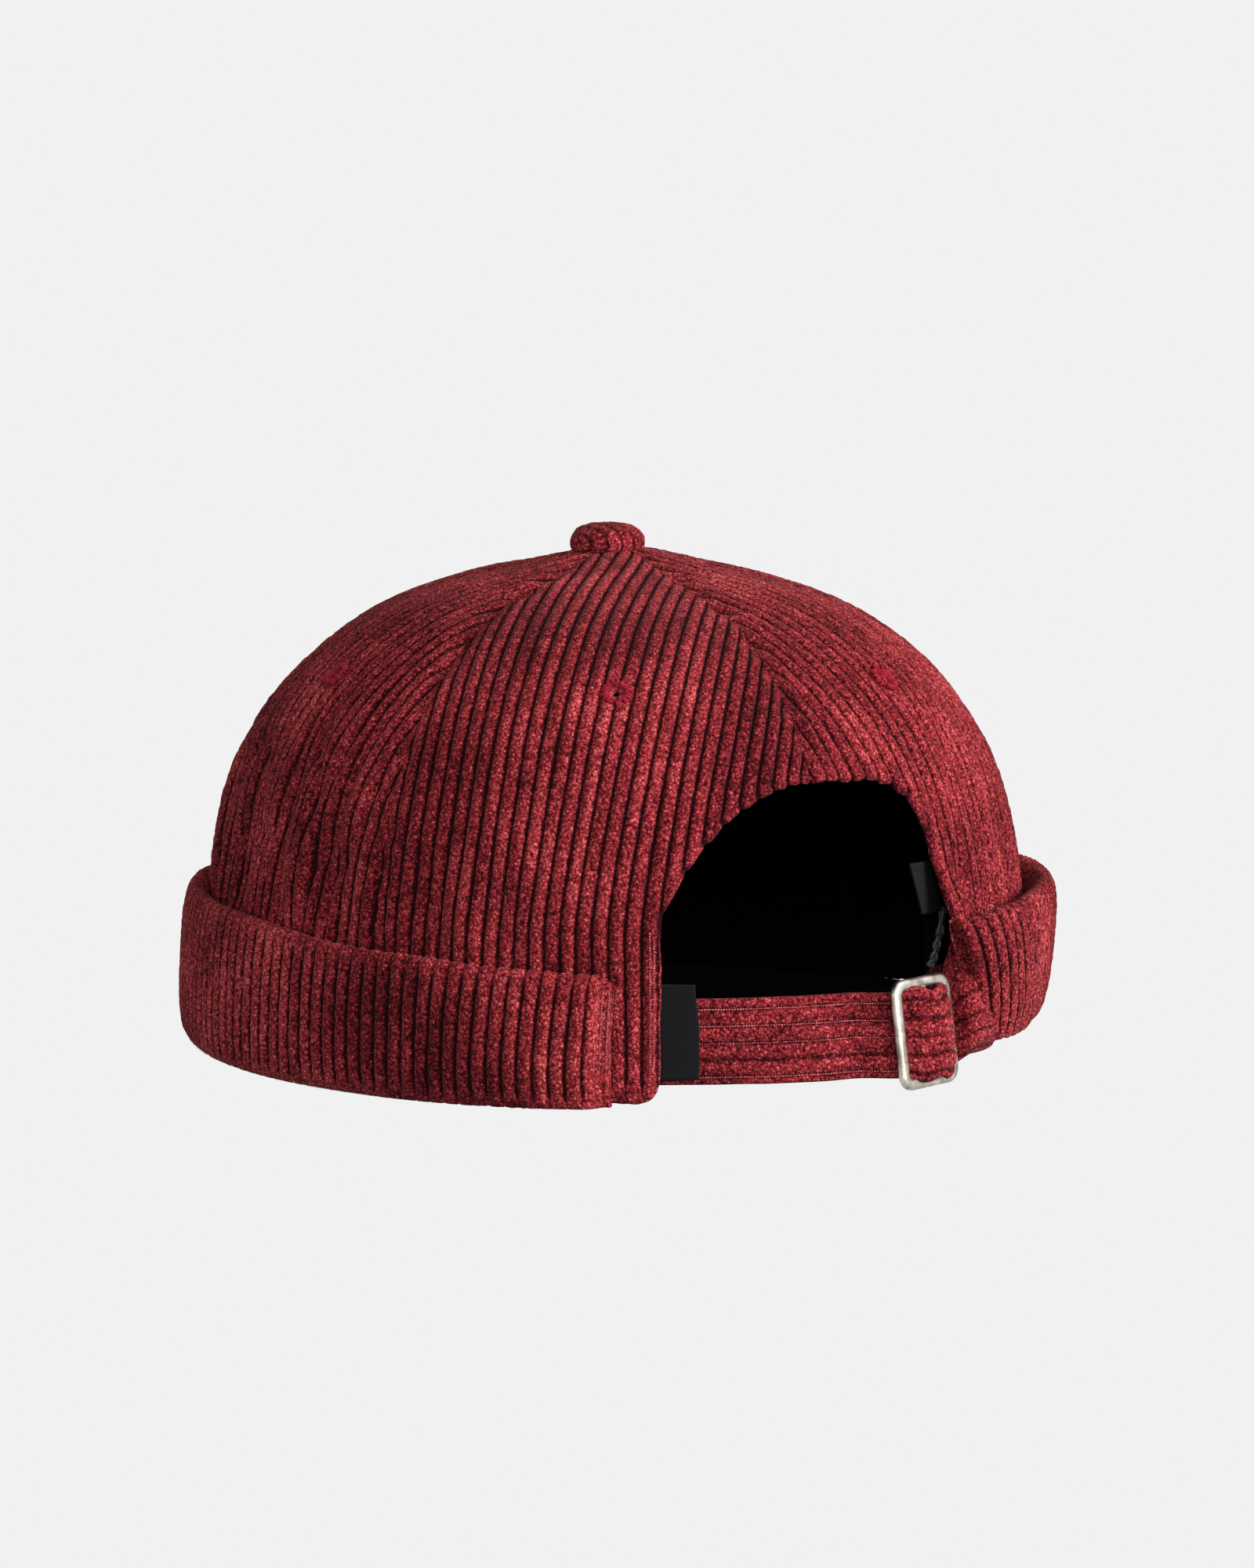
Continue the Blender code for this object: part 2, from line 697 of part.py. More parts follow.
def in_buckle_frame(azimuth, radius):
    """A place in plan as lengths along the buckle and level out from it."""
    origin, along, out = buckle_frame()[:3]
    offset = plan(azimuth, radius, origin.z) - origin
    return offset.dot(along), offset.dot(Vector((out.x, out.y, 0)).normalized())


def strap_radius(azimuth):
    """Radius of the strap's middle line from its sewn end to the buckle."""
    inside = CROWN_RADIUS - CLOTH - 4 * GAP - LABEL_THICK - STRAP_THICK / 2
    outside = strap_seat() - STRAP_THICK / 2
    left_edge = ARCH_MIDDLE + ARCH_HALF_WIDTH
    return inside + (outside - inside) * blend((left_edge - azimuth) / (left_edge - BUCKLE_AZIMUTH))


def back_strap(look):
    """From inside the arch's left edge through the buckle's bars to its free end under the cuff."""
    half = (BUCKLE_WIDTH - BUCKLE_BAR) / 2
    under = BUCKLE_THICK / 2 + GAP + STRAP_THICK / 2
    over = BUCKLE_THICK / 2 + TAB_THICK + 3 * GAP + STRAP_THICK / 2
    sewn = ARCH_MIDDLE + ARCH_HALF_WIDTH + degrees_of(STRAP_SEWN)
    buckle_edge = BUCKLE_AZIMUTH + degrees_of(STRAP_DIP * BUCKLE_WIDTH)
    rows = []
    for k in range(STRAP_APPROACH):
        share = k / (STRAP_APPROACH - 1)
        azimuth = sewn + (buckle_edge - sewn) * share
        rows.append((*in_buckle_frame(azimuth, strap_radius(azimuth)), 0.0, share))
    for along, below, above in STRAP_THREADING:
        rows.append((along * half, above * over - below * under, 0.0, 1.0))
    cuff_end = CUFF_ROWS[-1][0] - 360
    seat = strap_seat() + STRAP_THICK / 2 + GAP
    for share in (0.0, 0.5, 1.0):
        azimuth = cuff_end - degrees_of(STRAP_TUCK) * share
        rows.append((*in_buckle_frame(azimuth, seat), STRAP_END_RISE, 1.0))
    ribbon("back_strap", smooth(rows, STRAP_STATIONS), STRAP_WIDTH, STRAP_THICK, look)


def buckle_tab(look):
    """A thin tab folded round the buckle's middle bar and sewn in behind the arch's right edge."""
    outer, inner = [], []
    for along, out, apart in TAB_ROWS:
        lean = 1 - along / TAB_ROWS[-1][0] / 2
        outer.append((along * BUCKLE_WIDTH, out * BUCKLE_THICK, 0.0, lean))
        inner.append((along * BUCKLE_WIDTH, (out - apart) * BUCKLE_THICK, 0.0, lean))
    right_edge = ARCH_MIDDLE - ARCH_HALF_WIDTH
    radius = CROWN_RADIUS - CLOTH - 1.5 * GAP - TAB_THICK / 2
    for share in TAB_SEWN_ROWS:
        azimuth = right_edge - degrees_of(TAB_SEWN) * share
        outer.append((*in_buckle_frame(azimuth, radius), STRAP_END_RISE, 0.0))
        inner.append((*in_buckle_frame(azimuth, radius - TAB_THICK - GAP), STRAP_END_RISE, 0.0))
    fold = (-(BUCKLE_BAR + TAB_THICK) / 2 - 2 * GAP, 0.0, 0.0, 1.0)
    rows = smooth(outer[::-1] + [fold] + inner, TAB_STATIONS)
    ribbon("buckle_tab", rows, TAB_WIDTH, TAB_THICK, look)


def label_tab(look):
    """A woven label between the arch's left strip and the strap."""
    left_edge = ARCH_MIDDLE + ARCH_HALF_WIDTH
    start, end = left_edge + degrees_of(LABEL_SEWN), left_edge - degrees_of(LABEL_WIDTH)
    outer, inner = [], []
    for k in range(LABEL_STATIONS):
        azimuth = start + (end - start) * k / (LABEL_STATIONS - 1)
        radius = strap_radius(azimuth) + STRAP_THICK / 2 + 2 * GAP
        for rows, reach in ((outer, radius + LABEL_THICK), (inner, radius)):
            rows.append([plan(azimuth, reach, LABEL_LOW + LABEL_HEIGHT * share) for share in (0, 1)])
    sheet("label_tab", outer, inner, look)


def sweatband(look):
    """A thin band inside the crown's lower edge, with its ends inside the sewn ends of strap and tab."""
    start, end = BAND_ROWS[0][0], BAND_ROWS[-1][0]
    outer, inner = [], []
    for k in range(BAND_STATIONS):
        azimuth = start + (end - start) * crowded(k, BAND_STATIONS, BAND_CROWDING)
        strap, tab = row_at(BAND_ROWS, azimuth)
        inset = SEAM_DEPTH + GAP
        inset += strap * (STRAP_THICK + LABEL_THICK + 7 * GAP - inset)
        inset += tab * (2 * TAB_THICK + 5 * GAP - inset)
        for rows, depth in ((outer, inset + CLOTH), (inner, inset + CLOTH + BAND_THICK)):
            row = []
            for level in BAND_LEVELS:
                z = BAND_LOW + level * BAND_HEIGHT
                row.append(plan(azimuth, crown_at(z)[0] - depth, lifted(azimuth, z)))
            rows.append(row)
    sheet("sweatband", outer, inner, look)


def inner_label(look):
    """A satin tag sewn in behind the arch's right edge above the sweatband."""
    edge = ARCH_MIDDLE - ARCH_HALF_WIDTH
    outer, inner = [], []
    for k in range(TAG_STATIONS):
        share = k / (TAG_STATIONS - 1)
        for rows, depth in ((outer, 2 * GAP), (inner, 2 * GAP + TAG_THICK)):
            row = []
            for z, shows in ((TAG_LOW, TAG_WIDTH - TAG_SLANT), (TAG_LOW + TAG_HEIGHT, TAG_WIDTH)):
                azimuth = edge + degrees_of((shows + TAG_SEWN) * share - TAG_SEWN)
                row.append(plan(azimuth, crown_at(z)[0] - CLOTH - depth, z))
            rows.append(row)
    sheet("inner_label", outer, inner, look)


def stand_on_origin(bodies):
    """Moves the whole cap so that the middle of its footprint is over the origin."""
    bpy.context.view_layer.update()
    graph = bpy.context.evaluated_depsgraph_get()
    corners = []
    for body in bodies:
        shape = body.evaluated_get(graph)
        corners += [shape.matrix_world @ v.co for v in shape.data.vertices]
    low = Vector([min(c[k] for c in corners) for k in range(3)])
    high = Vector([max(c[k] for c in corners) for k in range(3)])
    shift = Matrix.Translation(Vector((-(low.x + high.x) / 2, -(low.y + high.y) / 2, 0.0)))
    for body in list(bpy.context.scene.objects):
        body.matrix_world = shift @ body.matrix_world
    print("the crown's axis stands at", [round(v, 6) for v in shift.translation[:2]], "lowest point", low.z)


def build():
    for old in list(bpy.data.objects):
        bpy.data.objects.remove(old, do_unlink=True)
    cloth = material("corduroy", CORDUROY)
    red = material("eyelet_thread", EYELET_RED)
    metal = material("buckle_metal", METAL)
    panels = [crown_panel(number, cloth) for number in range(len(SEAM_AZIMUTHS))]
    for number, panel in enumerate(panels):
        eyelet(number, panel, red)
    arch = arch_cutter()
    cut(panels[0], arch)
    cut(panels[-1], arch)
    cuff(cloth)
    button(cloth)
    buckle(metal)
    back_strap(cloth)
    buckle_tab(material("tab_cloth", CORDUROY))
    label_tab(material("label_twill", BLACK_TWILL))
    sweatband(material("band_cloth", BLACK_BAND))
    inner_label(material("tag_satin", GREY_SATIN))
    stand_on_origin([o for o in bpy.context.scene.objects if not o.hide_render])


build()
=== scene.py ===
"""The looks of a brimless docker cap in burgundy corduroy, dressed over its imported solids.

Metres, in the row frame: +Z up, the cap stands on z = 0 and its back opening faces +Y.
An azimuth is in degrees, counted from the back centre towards the wearer's left, which is +X.
A radius is the one before the head's oval. A wale is one rib of the corduroy.
"""

import math

import bmesh
import bpy
import numpy as np
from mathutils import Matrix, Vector


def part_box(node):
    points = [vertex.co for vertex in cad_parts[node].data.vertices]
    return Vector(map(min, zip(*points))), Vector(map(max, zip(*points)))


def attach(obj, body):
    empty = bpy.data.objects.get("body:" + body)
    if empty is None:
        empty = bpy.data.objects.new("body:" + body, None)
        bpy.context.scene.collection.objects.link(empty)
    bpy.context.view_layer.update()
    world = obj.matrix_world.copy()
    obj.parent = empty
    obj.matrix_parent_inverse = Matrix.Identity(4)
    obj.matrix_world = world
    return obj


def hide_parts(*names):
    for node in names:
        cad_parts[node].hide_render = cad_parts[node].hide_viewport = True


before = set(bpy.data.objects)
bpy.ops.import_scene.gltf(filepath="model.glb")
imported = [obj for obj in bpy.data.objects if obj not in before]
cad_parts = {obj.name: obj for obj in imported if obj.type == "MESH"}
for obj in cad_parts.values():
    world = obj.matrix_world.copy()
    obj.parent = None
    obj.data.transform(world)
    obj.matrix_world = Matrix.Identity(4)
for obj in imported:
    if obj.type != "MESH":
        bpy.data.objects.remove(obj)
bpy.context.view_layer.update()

# Clearance between two pieces that touch
GAP = 0.0003

# Head size and cloth
CROWN_RADIUS = 0.0933
CROWN_HEIGHT = 0.1105
CLOTH = 0.002
OVAL_LENGTH = 1.02
OVAL_WIDTH = 0.98
HEM_HEIGHT = 0.0008
TOP_HOLE = 0.004
PROFILE_STEPS = 600
SMOOTH_STEPS = 40

# Corduroy
WALE = 0.0035  # from crest to crest
WALE_HEIGHT = 0.0013
WALE_SQUARE = 2.2  # flatness of its crest
WALE_ROUND = 0.60  # and narrowness of the valleys beside it
WALE_PHASES = (-0.5, -0.44, -0.36, -0.24, -0.12, 0.0, 0.12, 0.24, 0.36, 0.44)
WALE_MEAN = 0.92  # share of its height, and how far that changes along it
WALE_CHANGE = 0.16
WALE_CHANGE_LENGTH = 0.03
WALE_SEAM = 0.55  # share of its height at a seam, and the distance at which it is full
WALE_SEAM_REACH = 0.0016
WALE_FAINT = 0.6  # part of its height that is lost where its valleys are wholly faint
WALE_HEM = 0.12  # share of its height at the hem, and the heights over which it comes in
WALE_HEM_HEIGHTS = (0.001, 0.008)
ROW = 0.0006  # from one row of points to the next along a wale
NEAREST_LINES = 0.00012  # two columns of points are no closer
PILE = 0.00013  # unevenness of the pile
PILE_SIZE = 0.0010
PILE_ACROSS = 1.3  # how much finer it is across the wales
PILE_FINE = (0.6, 3.1, 1.9)  # a finer layer: share, across, along
PILE_LOOP = 0.00062  # size of one loop of the pile in its colour
VALLEY_FUZZ = 0.30  # how ragged the sides of the painted shade in the valleys are
VALLEY_SIDES = (0.31, 0.49)  # where they start and end, in wales from the crest
# Colours of the corduroy, from the painted shade in its valleys and between its loops up to its painted
# glints
CLOTH_TONES = (
    # share, colour
    (0.00, (0.012, 0.0007, 0.0013)),
    (0.22, (0.048, 0.0028, 0.0048)),
    (0.52, (0.150, 0.0110, 0.0150)),
    (0.80, (0.305, 0.0380, 0.0410)),
    (1.00, (0.470, 0.1020, 0.0990)),
)
METAL_TONES = (
    (0.30, (0.20, 0.175, 0.145)),
    (0.50, (0.42, 0.38, 0.325)),
    (0.75, (0.60, 0.565, 0.51)),
)
TWILL_TONES = (
    (0.1, (0.0014, 0.0014, 0.0017)),
    (0.9, (0.0062, 0.0062, 0.0070)),
)

# Woven cloths and threads, coloured by a fine noise
YARNS = {
    # name: (scale, detail, roughness of the noise), colours, roughness, specular,
    # (depth, strength) of the relief
    # the cap's black lining, painted darker still as the shade inside the cap
    "inner_face": (
        (900.0, 2.0, 0.5),
        ((0.3, (0.0010, 0.0008, 0.0009)), (0.7, (0.0022, 0.0017, 0.0018))),
        0.95, 0.01, None,
    ),
    "satin_thread": (
        (900.0, 2.0, 0.6),
        ((0.3, (0.11, 0.0025, 0.008)), (0.7, (0.28, 0.010, 0.024))),
        0.60, 0.10, None,
    ),
    "stitch_thread": (
        (700.0, 1.0, 0.5),
        ((0.35, (0.22, 0.034, 0.042)), (0.65, (0.48, 0.120, 0.135))),
        0.70, 0.15, None,
    ),
    # the sweatband's black weave, painted darker still as the shade inside the cap
    "band_weave": (
        (1300.0, 2.0, 0.6),
        ((0.3, (0.0009, 0.0008, 0.0009)), (0.7, (0.0020, 0.0018, 0.0019))),
        0.90, 0.02,
        (0.00012, 0.7),
    ),
    "black_braid": (
        (2600.0, 1.0, 0.5),
        ((0.40, (0.0020, 0.0020, 0.0022)), (0.62, (0.050, 0.050, 0.052))),
        0.55, 0.35, None,
    ),
    "dark_satin": (
        (1800.0, 1.0, 0.5),
        ((0.3, (0.0030, 0.0026, 0.0030)), (0.7, (0.0054, 0.0047, 0.0053))),
        0.60, 0.06,
        (0.00005, 0.5),
    ),
}

# Panels
SEAM_AZIMUTHS = (0.0, 64.0, 124.0, 182.0, 240.0, 300.0)
PANEL_TILTS = (0.165, 0.0, 0.0, 0.0, 0.0, 0.0)  # of the wales, above the arch's sides
TILT_EASE = 0.006
PANEL_BULGE = 0.0006
SEAM_LAP = 0.00002  # how far neighbouring panels pass each other, so that no light comes between
SEAM_DEPTH = 0.0011
SEAM_REACH = 0.0035
RELIEF_FADE = 0.33  # share of the radius over which the folds fade towards the button
PROFILE = (
    # radius, height
    (0.043, 1.000),
    (0.214, 0.974),
    (0.428, 0.932),
    (0.588, 0.881),
    (0.717, 0.810),
    (0.824, 0.723),
    (0.909, 0.614),
    (0.968, 0.478),
    (0.995, 0.348),
    (1.005, 0.226),
    (1.003, 0.110),
    (1.000, 0.000),
)
HEM_ROWS = (
    # azimuth, rise
    (0.0, 0.00),
    (240.0, 0.00),
    (268.0, 0.06),
    (292.0, 0.17),
    (318.0, 0.22),
    (337.0, 0.23),
    (360.0, 0.23),
)
DENTS = (
    # azimuth, height, half_width, half_height, depth
    (46.0, 0.36, 3.0, 0.08, 0.75),
    (57.0, 0.38, 3.5, 0.10, 0.90),
    (74.0, 0.42, 4.0, 0.12, 0.80),
    (97.0, 0.40, 5.0, 0.12, 0.80),
    (141.0, 0.42, 5.0, 0.13, 0.80),
    (204.0, 0.40, 6.0, 0.12, 0.90),
    (262.0, 0.44, 5.0, 0.13, 0.80),
    (318.0, 0.52, 4.5, 0.16, 0.70),
)

# Finer folds of the cloth, in the same columns; a depth below zero stands out
FOLDS = (
    # azimuth, height, half_width, half_height, depth
    (43.0, 0.31, 0.9, 0.045, 0.45),
    (49.5, 0.33, 0.9, 0.060, -0.30),
    (53.5, 0.32, 0.8, 0.050, 0.45),
    (66.0, 0.34, 1.1, 0.070, -0.35),
    (71.0, 0.33, 1.0, 0.060, 0.40),
    (84.0, 0.36, 1.3, 0.080, -0.35),
    (90.0, 0.35, 1.2, 0.070, 0.40),
    (105.0, 0.36, 1.4, 0.090, -0.35),
    (27.7, 0.088, 0.9, 0.012, 0.55),
    (338.2, 0.305, 3.3, 0.075, -1.90),
    (333.0, 0.40, 1.6, 0.060, 0.45),
)
FAINT_ROWS = (
    # azimuth, low, high: how faint the valleys and their painted shade are above the cuff and near the top
    (0.0, 0.05, 0.0),
    (56.0, 0.00, 0.0),
    (74.0, 0.00, 0.22),
    (124.0, 0.05, 0.25),
    (182.0, 0.20, 0.25),
    (290.0, 0.60, 0.60),
    (322.0, 0.70, 0.65),
    (338.0, 0.45, 0.40),
    (352.0, 0.10, 0.45),
    (360.0, 0.05, 0.50),
)
FAINT_HEIGHTS = (0.042, 0.070)  # from the low values to the high ones
FAINT_HEM = (-0.0005, 0.0050)  # from wholly faint at the hem
PEAK = 0.0010  # rise of the crown towards its button
PEAK_RADII = (0.025, 0.005)
SEAM_PUCKER = 0.0008
PUCKER_SIZE = 0.0034
PUCKER_REACH = 0.006
PUCKER_RADII = (0.012, 0.024)
DRAPE = 0.00035  # soft unevenness of the cloth
DRAPE_SIZE = 0.022
DRAPE_SEAM = 0.010  # distance from a seam at which it is full
BUNCH = 0.0017  # broad upright folds above the cuff
BUNCH_WIDTH = 0.0075
BUNCH_LENGTH = 0.055
BUNCH_LOW = (0.030, 0.038)  # heights over which they come in
BUNCH_HIGH = (0.094, 0.060)  # and over which they go
BUNCH_SEAM = 0.008
CREASE = 0.0023  # depth of the narrow creases between them
CREASE_WIDTH = 0.0058
CREASE_LENGTH = 0.026
CREASE_SHARP = 5
DEEPEST = 0.0030  # of all folds together
BUNCHES = (0.25, 1.00, 0.60, 0.60, 0.60, 0.30)  # share of the folds in each panel
WANDER = 0.0004  # how far a wale strays from its line
WANDER_SIZE = 0.026
WANDER_CALM = 0.008  # distance from an edge at which it is full
HIDDEN_AZIMUTHS = (33.0, 333.0)  # behind the cuff, where fewer rows of points do
HIDDEN_HEIGHT = 0.0235
HIDDEN_STEP = 4

# The arched back opening
ARCH_MIDDLE = 2.0
ARCH_HALF_WIDTH = 22.5
ARCH_LEFT = ARCH_MIDDLE + ARCH_HALF_WIDTH
ARCH_RIGHT = ARCH_MIDDLE - ARCH_HALF_WIDTH
ARCH_TOP = 0.067
ARCH_CORNER = 0.004
ARCH_ROWS = (
    # across, level
    (1.000, 0.510),
    (0.965, 0.600),
    (0.905, 0.665),
    (0.820, 0.740),
    (0.690, 0.820),
    (0.510, 0.900),
    (0.330, 0.952),
    (0.100, 0.990),
    (-0.130, 1.000),
    (-0.370, 0.996),
    (-0.600, 0.985),
    (-0.770, 0.952),
    (-0.880, 0.895),
    (-0.945, 0.825),
    (-0.976, 0.740),
    (-0.990, 0.660),
    (-0.997, 0.580),
    (-1.000, 0.510),
)
EDGE_ROLL = 0.0012  # how far the turned edge stands past the flat cloth
EDGE_EVEN = 0.55  # share of that in a valley, what a crest adds, and its unevenness
EDGE_LOBE = 0.62
EDGE_ROUGH = 0.16
EDGE_HEM_LOBE = 0.6  # the lobes are level at the hem and come in over these heights
EDGE_HEM_HEIGHTS = (0.004, 0.012)
EDGE_ROOM = 0.0005  # how far the flat cloth stops short of the opening
ARCH_ROOM = 0.0013  # the same above the opening
EDGE_RINGS = 6
EDGE_MAP_STEP = 0.15  # of a wale, from ring to ring
HEM_ROOM = 0.0005
INNER_ROW = 0.012
INNER_ROOM = 0.002

# Turned-up cuff
CUFF_HEIGHT = 0.033
CUFF_PROUD = 0.0066
CUFF_FLAT = 0.0004
CUFF_TUCK = 0.0011  # how far its hidden side is pressed into the crown's wales
CUFF_LEAN = 0.0022
CUFF_SQUARENESS = 2.6
CUFF_FACE_POINTS = 56  # round its loop where it shows
CUFF_BACK_POINTS = 8
CUFF_FACE_FROM = -0.75  # where that face starts across the loop, from -1 against the crown to 1
CUFF_SHOWS = (-0.9, -0.6)  # where its relief comes in
CUFF_PHASES = (-0.5, -0.43, -0.34, -0.22, -0.08, 0.08, 0.22, 0.34, 0.43)
CUFF_ROWS = (
    # azimuth, lift, height, proud, lean, lead, over_strap
    (30.2, 0.000, 0.870, 0.680, 0.20, 0.0, 0.0),
    (34.0, 0.000, 0.880, 0.860, 0.30, 0.0, 0.0),
    (42.0, 0.000, 0.905, 1.000, 0.50, 0.0, 0.0),
    (60.0, 0.000, 0.950, 1.000, 0.60, 0.0, 0.0),
    (88.0, 0.000, 1.035, 1.000, 0.90, 0.0, 0.0),
    (125.0, 0.015, 1.040, 1.000, 0.90, 0.0, 0.0),
    (160.0, 0.000, 1.000, 1.040, 0.50, 0.0, 0.0),
    (230.0, 0.000, 1.020, 1.000, 0.00, 0.0, 0.0),
    (265.0, 0.060, 1.000, 0.880, -0.80, 0.0, 0.0),
    (292.0, 0.205, 0.940, 0.820, -1.60, 0.0, 0.0),
    (316.0, 0.235, 0.915, 0.900, -1.30, 1.0, 0.3),
    (330.0, 0.240, 0.900, 0.900, -0.70, 3.2, 1.0),
    (338.4, 0.245, 0.850, 0.760, -0.20, 4.4, 1.0),
)

# How far the wales' lower ends lie to the wearer's left of their upper ones, in degrees
CUFF_SLANT_ROWS = (
    # azimuth, slant
    (31.0, 0.9),
    (35.0, 1.9),
    (46.0, 1.4),
    (62.0, 0.2),
    (360.0, 0.0),
)
CUFF_SLANT_EASE = 0.6  # part of the slant that goes again at the wales' lower ends
CUFF_HEM = 0.0030  # the flat, stitched strip at its left end
CUFF_HEM_LEVEL = 0.35  # of a wale's height, below its crest
CUFF_HEM_LINES = (0.0, 0.00025, 0.0006, 0.0011, 0.0017, 0.0023)  # columns of points from its left end
CUFF_END_LINES = (0.0, 0.0001, 0.0003, 0.0006)  # and from its right end
CUFF_FIRST_LINE = 0.0027  # the columns along its wales keep this far from its left end
CUFF_LAST_LINE = 0.0008  # and this far from its right end
CUFF_PINCH = 0.52  # share of its thickness at the hem
CUFF_EDGE = 0.0009  # rounding of its left edge
CUFF_CURL = 0.0062  # length over which its right end curls in
CUFF_PLAIN_END = 0.0030  # length without wales at its right end
CUFF_WALE_MEAN = 0.95  # share of their height, and how far that changes along them
CUFF_WALE_CHANGE = 0.14
CUFF_WALE_LENGTH = 0.02
CUFF_FADE = 0.62  # of its wales where it turns over
CUFF_FAINT = 0.8  # how faint the painted shade in the valleys is there
CUFF_TOP_FADE = (0.84, 0.97)  # shares of its height over which it turns over
CUFF_LOW_FADE = (0.13, 0.01)
CUFF_LOW_SHARE = 1.30  # how far they fade at its foot, beside the top
CUFF_RIGHT_SHARE = 0.4  # how much less its wales fade at the wearer's right
CUFF_RIGHT_AZIMUTHS = (200.0, 260.0)
CUFF_DRAPE = 0.00042  # soft unevenness of its cloth
CUFF_CORNER = 0.0030  # rounding of its upper left corner
CUFF_CORNER_RISE = (0.6, 1.0)  # shares of its height over which that comes in

# Button
BUTTON_RADIUS = 0.0085
BUTTON_HEIGHT = 0.0058
BUTTON_OFFSET = (0.0017, -0.0009)
BUTTON_PROFILE = (
    # radius, height
    (0.00, 1.000),
    (0.30, 0.985),
    (0.58, 0.920),
    (0.82, 0.760),
    (0.97, 0.480),
    (1.00, 0.220),
    (0.96, -0.020),
    (0.86, -0.130),
    (0.60, -0.130),
)
BUTTON_SIDES = 132
BUTTON_ROWS = 44
BUTTON_WALE = 0.0033
BUTTON_TURN = 12.0  # direction across its wales, in degrees from +X
BUTTON_BEND = 0.0007  # how far they bow
BUTTON_RIB = 0.00045
BUTTON_FADE = (-0.0008, 0.0004)  # heights over which they come in
BUTTON_FAINT = 0.45  # how faint the painted shade in its valleys is

# Eyelets
EYELET_AZIMUTHS = (30.0, 90.5, 153.0, 211.0, 270.0, 334.0)
EYELET_HEIGHT = 0.0855
EYELET_RADIUS = 0.0039
EYELET_HOLE = 0.00135
EYELET_THREADS = 54
EYELET_THREAD = 0.00025
EYELET_SUNK = 0.00035
EYELET_HOLE_LEVELS = (0.0011, 0.0013, 0.0015)  # of the dark tube that is the painted shade in its hole, below the cloth
EYELET_THREAD_ROWS = (
    # share of its reach, level, thickness
    (0.00, -0.00160, 0.42),
    (0.06, -0.00075, 0.4548),
    (0.20, -0.00010, 0.536),
    (0.45, 0.00035, 0.681),
    (0.72, 0.00030, 0.8376),
    (1.00, -0.00035, 0.75),
)
EYELET_REACH = (0.72, 1.04)  # of its threads, as shares of its radius
EYELET_LIFT = (-0.00010, 0.00016)  # by which they lie higher or lower
EYELET_PIT = 0.0010  # depth of the dent under its hole
EYELET_PIT_RADII = (0.0012, 0.0006)  # where it starts and is full
EYELET_FLAT = (0.00506, 0.00276)  # radii over which the wales end round it
EYELET_LEVEL = 0.000715  # how far the cloth sinks there
EYELET_FAINT = 0.6  # how faint the painted shade in the valleys is there

# Buckle
BUCKLE_AZIMUTH = -12.6
BUCKLE_TURN = 7.0
BUCKLE_WIDTH = 0.0196
BUCKLE_HEIGHT = 0.0238
BUCKLE_MIDDLE = 0.0127
BUCKLE_BAR = 0.0022
BUCKLE_THICK = 0.0018
BUCKLE_CORNER = 0.0022
BUCKLE_CORNER_STEPS = 14
BUCKLE_BAR_SIDES = 28
BUCKLE_SQUARENESS = 3.6
BUCKLE_FACE = 0.0026  # width of its bars where they show
STRAP_LEAN = 8.0

# Back strap
STRAP_WIDTH = 0.0186
STRAP_THICK = 0.0020
STRAP_END_RISE = 0.0026
STRAP_SEWN = 0.0065
STRAP_TUCK = 0.0060
STRAP_STATIONS = 250
STRAP_APPROACH = 8
STRAP_DIP = 0.75
STRAP_THREADING = (
    # along, under, over
    (-0.95, 1.0, 0.00),
    (-0.50, 0.0, 0.12),
    (-0.05, 0.0, 0.86),
    (0.30, 0.0, 0.72),
    (0.72, 0.0, 0.24),
    (1.22, 1.0, 0.00),
)
STRAP_WALE = 0.00365
STRAP_FIRST_VALLEY = 0.0024  # below its upper edge
STRAP_WALE_HEIGHT = 0.00062
STRAP_SWELL = 0.0015  # padding where it passes over the buckle
STRAP_LUMP = 0.0042  # padding of its bunched end
STRAP_COMES_IN = (-0.86, -0.36)  # where it widens in the buckle, from -1 to 1 across that
STRAP_GOES_OUT = (1.16, 0.98)
STRAP_EBB = (0.30, 0.90)  # where it narrows again
STRAP_TAIL = 0.0040  # over this length it bunches behind the buckle
STRAP_TAIL_FAINT = 0.35  # part of its wales that is lost there
STRAP_TAIL_WIDER = 0.06  # how much wider it is there, and how far its upper half rises
STRAP_TAIL_RISE = 0.0034
STRAP_SWELL_EBB = 0.55  # part of the padding that goes again
STRAP_WIDER = 0.13  # how much wider it is in the buckle, and the part of that which goes again
STRAP_WIDER_EBB = 0.65
STRAP_NOTCH = 0.0018  # length of the pinch at the buckle's bar
STRAP_NOTCH_DEPTH = 0.12
STRAP_FOLD = 0.0013  # a fold along its bunched end
STRAP_FOLD_PLACE = 0.0062  # above its middle
STRAP_FOLD_SIZE = 0.0009
STRAP_FAINT = 0.45
STRAP_FACE_POINTS = 64
STRAP_BACK_POINTS = 12
STRAP_EDGE = 0.0011  # rounding of its edges
STITCHED_VALLEYS = (0, 1, 2, 4)

# Cloth tab that holds the buckle
TAB_THICK = 0.0008
TAB_WIDTH = 0.0176
TAB_SEWN = 0.0070
TAB_SEWN_ROWS = (0.15, 0.55, 1.0)
TAB_STATIONS = 90
TAB_POINTS = 22
TAB_ROWS = (
    # along, out, apart
    (0.000, 0.97, 1.94),
    (0.082, 0.78, 1.72),
    (0.143, 0.06, 1.22),
    (0.200, -0.83, 0.89),
    (0.296, -1.78, 0.81),
    (0.444, -2.61, 0.75),
)

# Woven label, left bare
LABEL_THICK = 0.0007
LABEL_WIDTH = 0.0092
LABEL_HEIGHT = 0.0208
LABEL_LOW = 0.0048
LABEL_SEWN = 0.0030
LABEL_BOW = 0.10  # how much narrower it is at its top
LABEL_SAG = 0.0003
LABEL_ROWS = 40
LABEL_COLUMNS = 26
LABEL_FOLD = 6

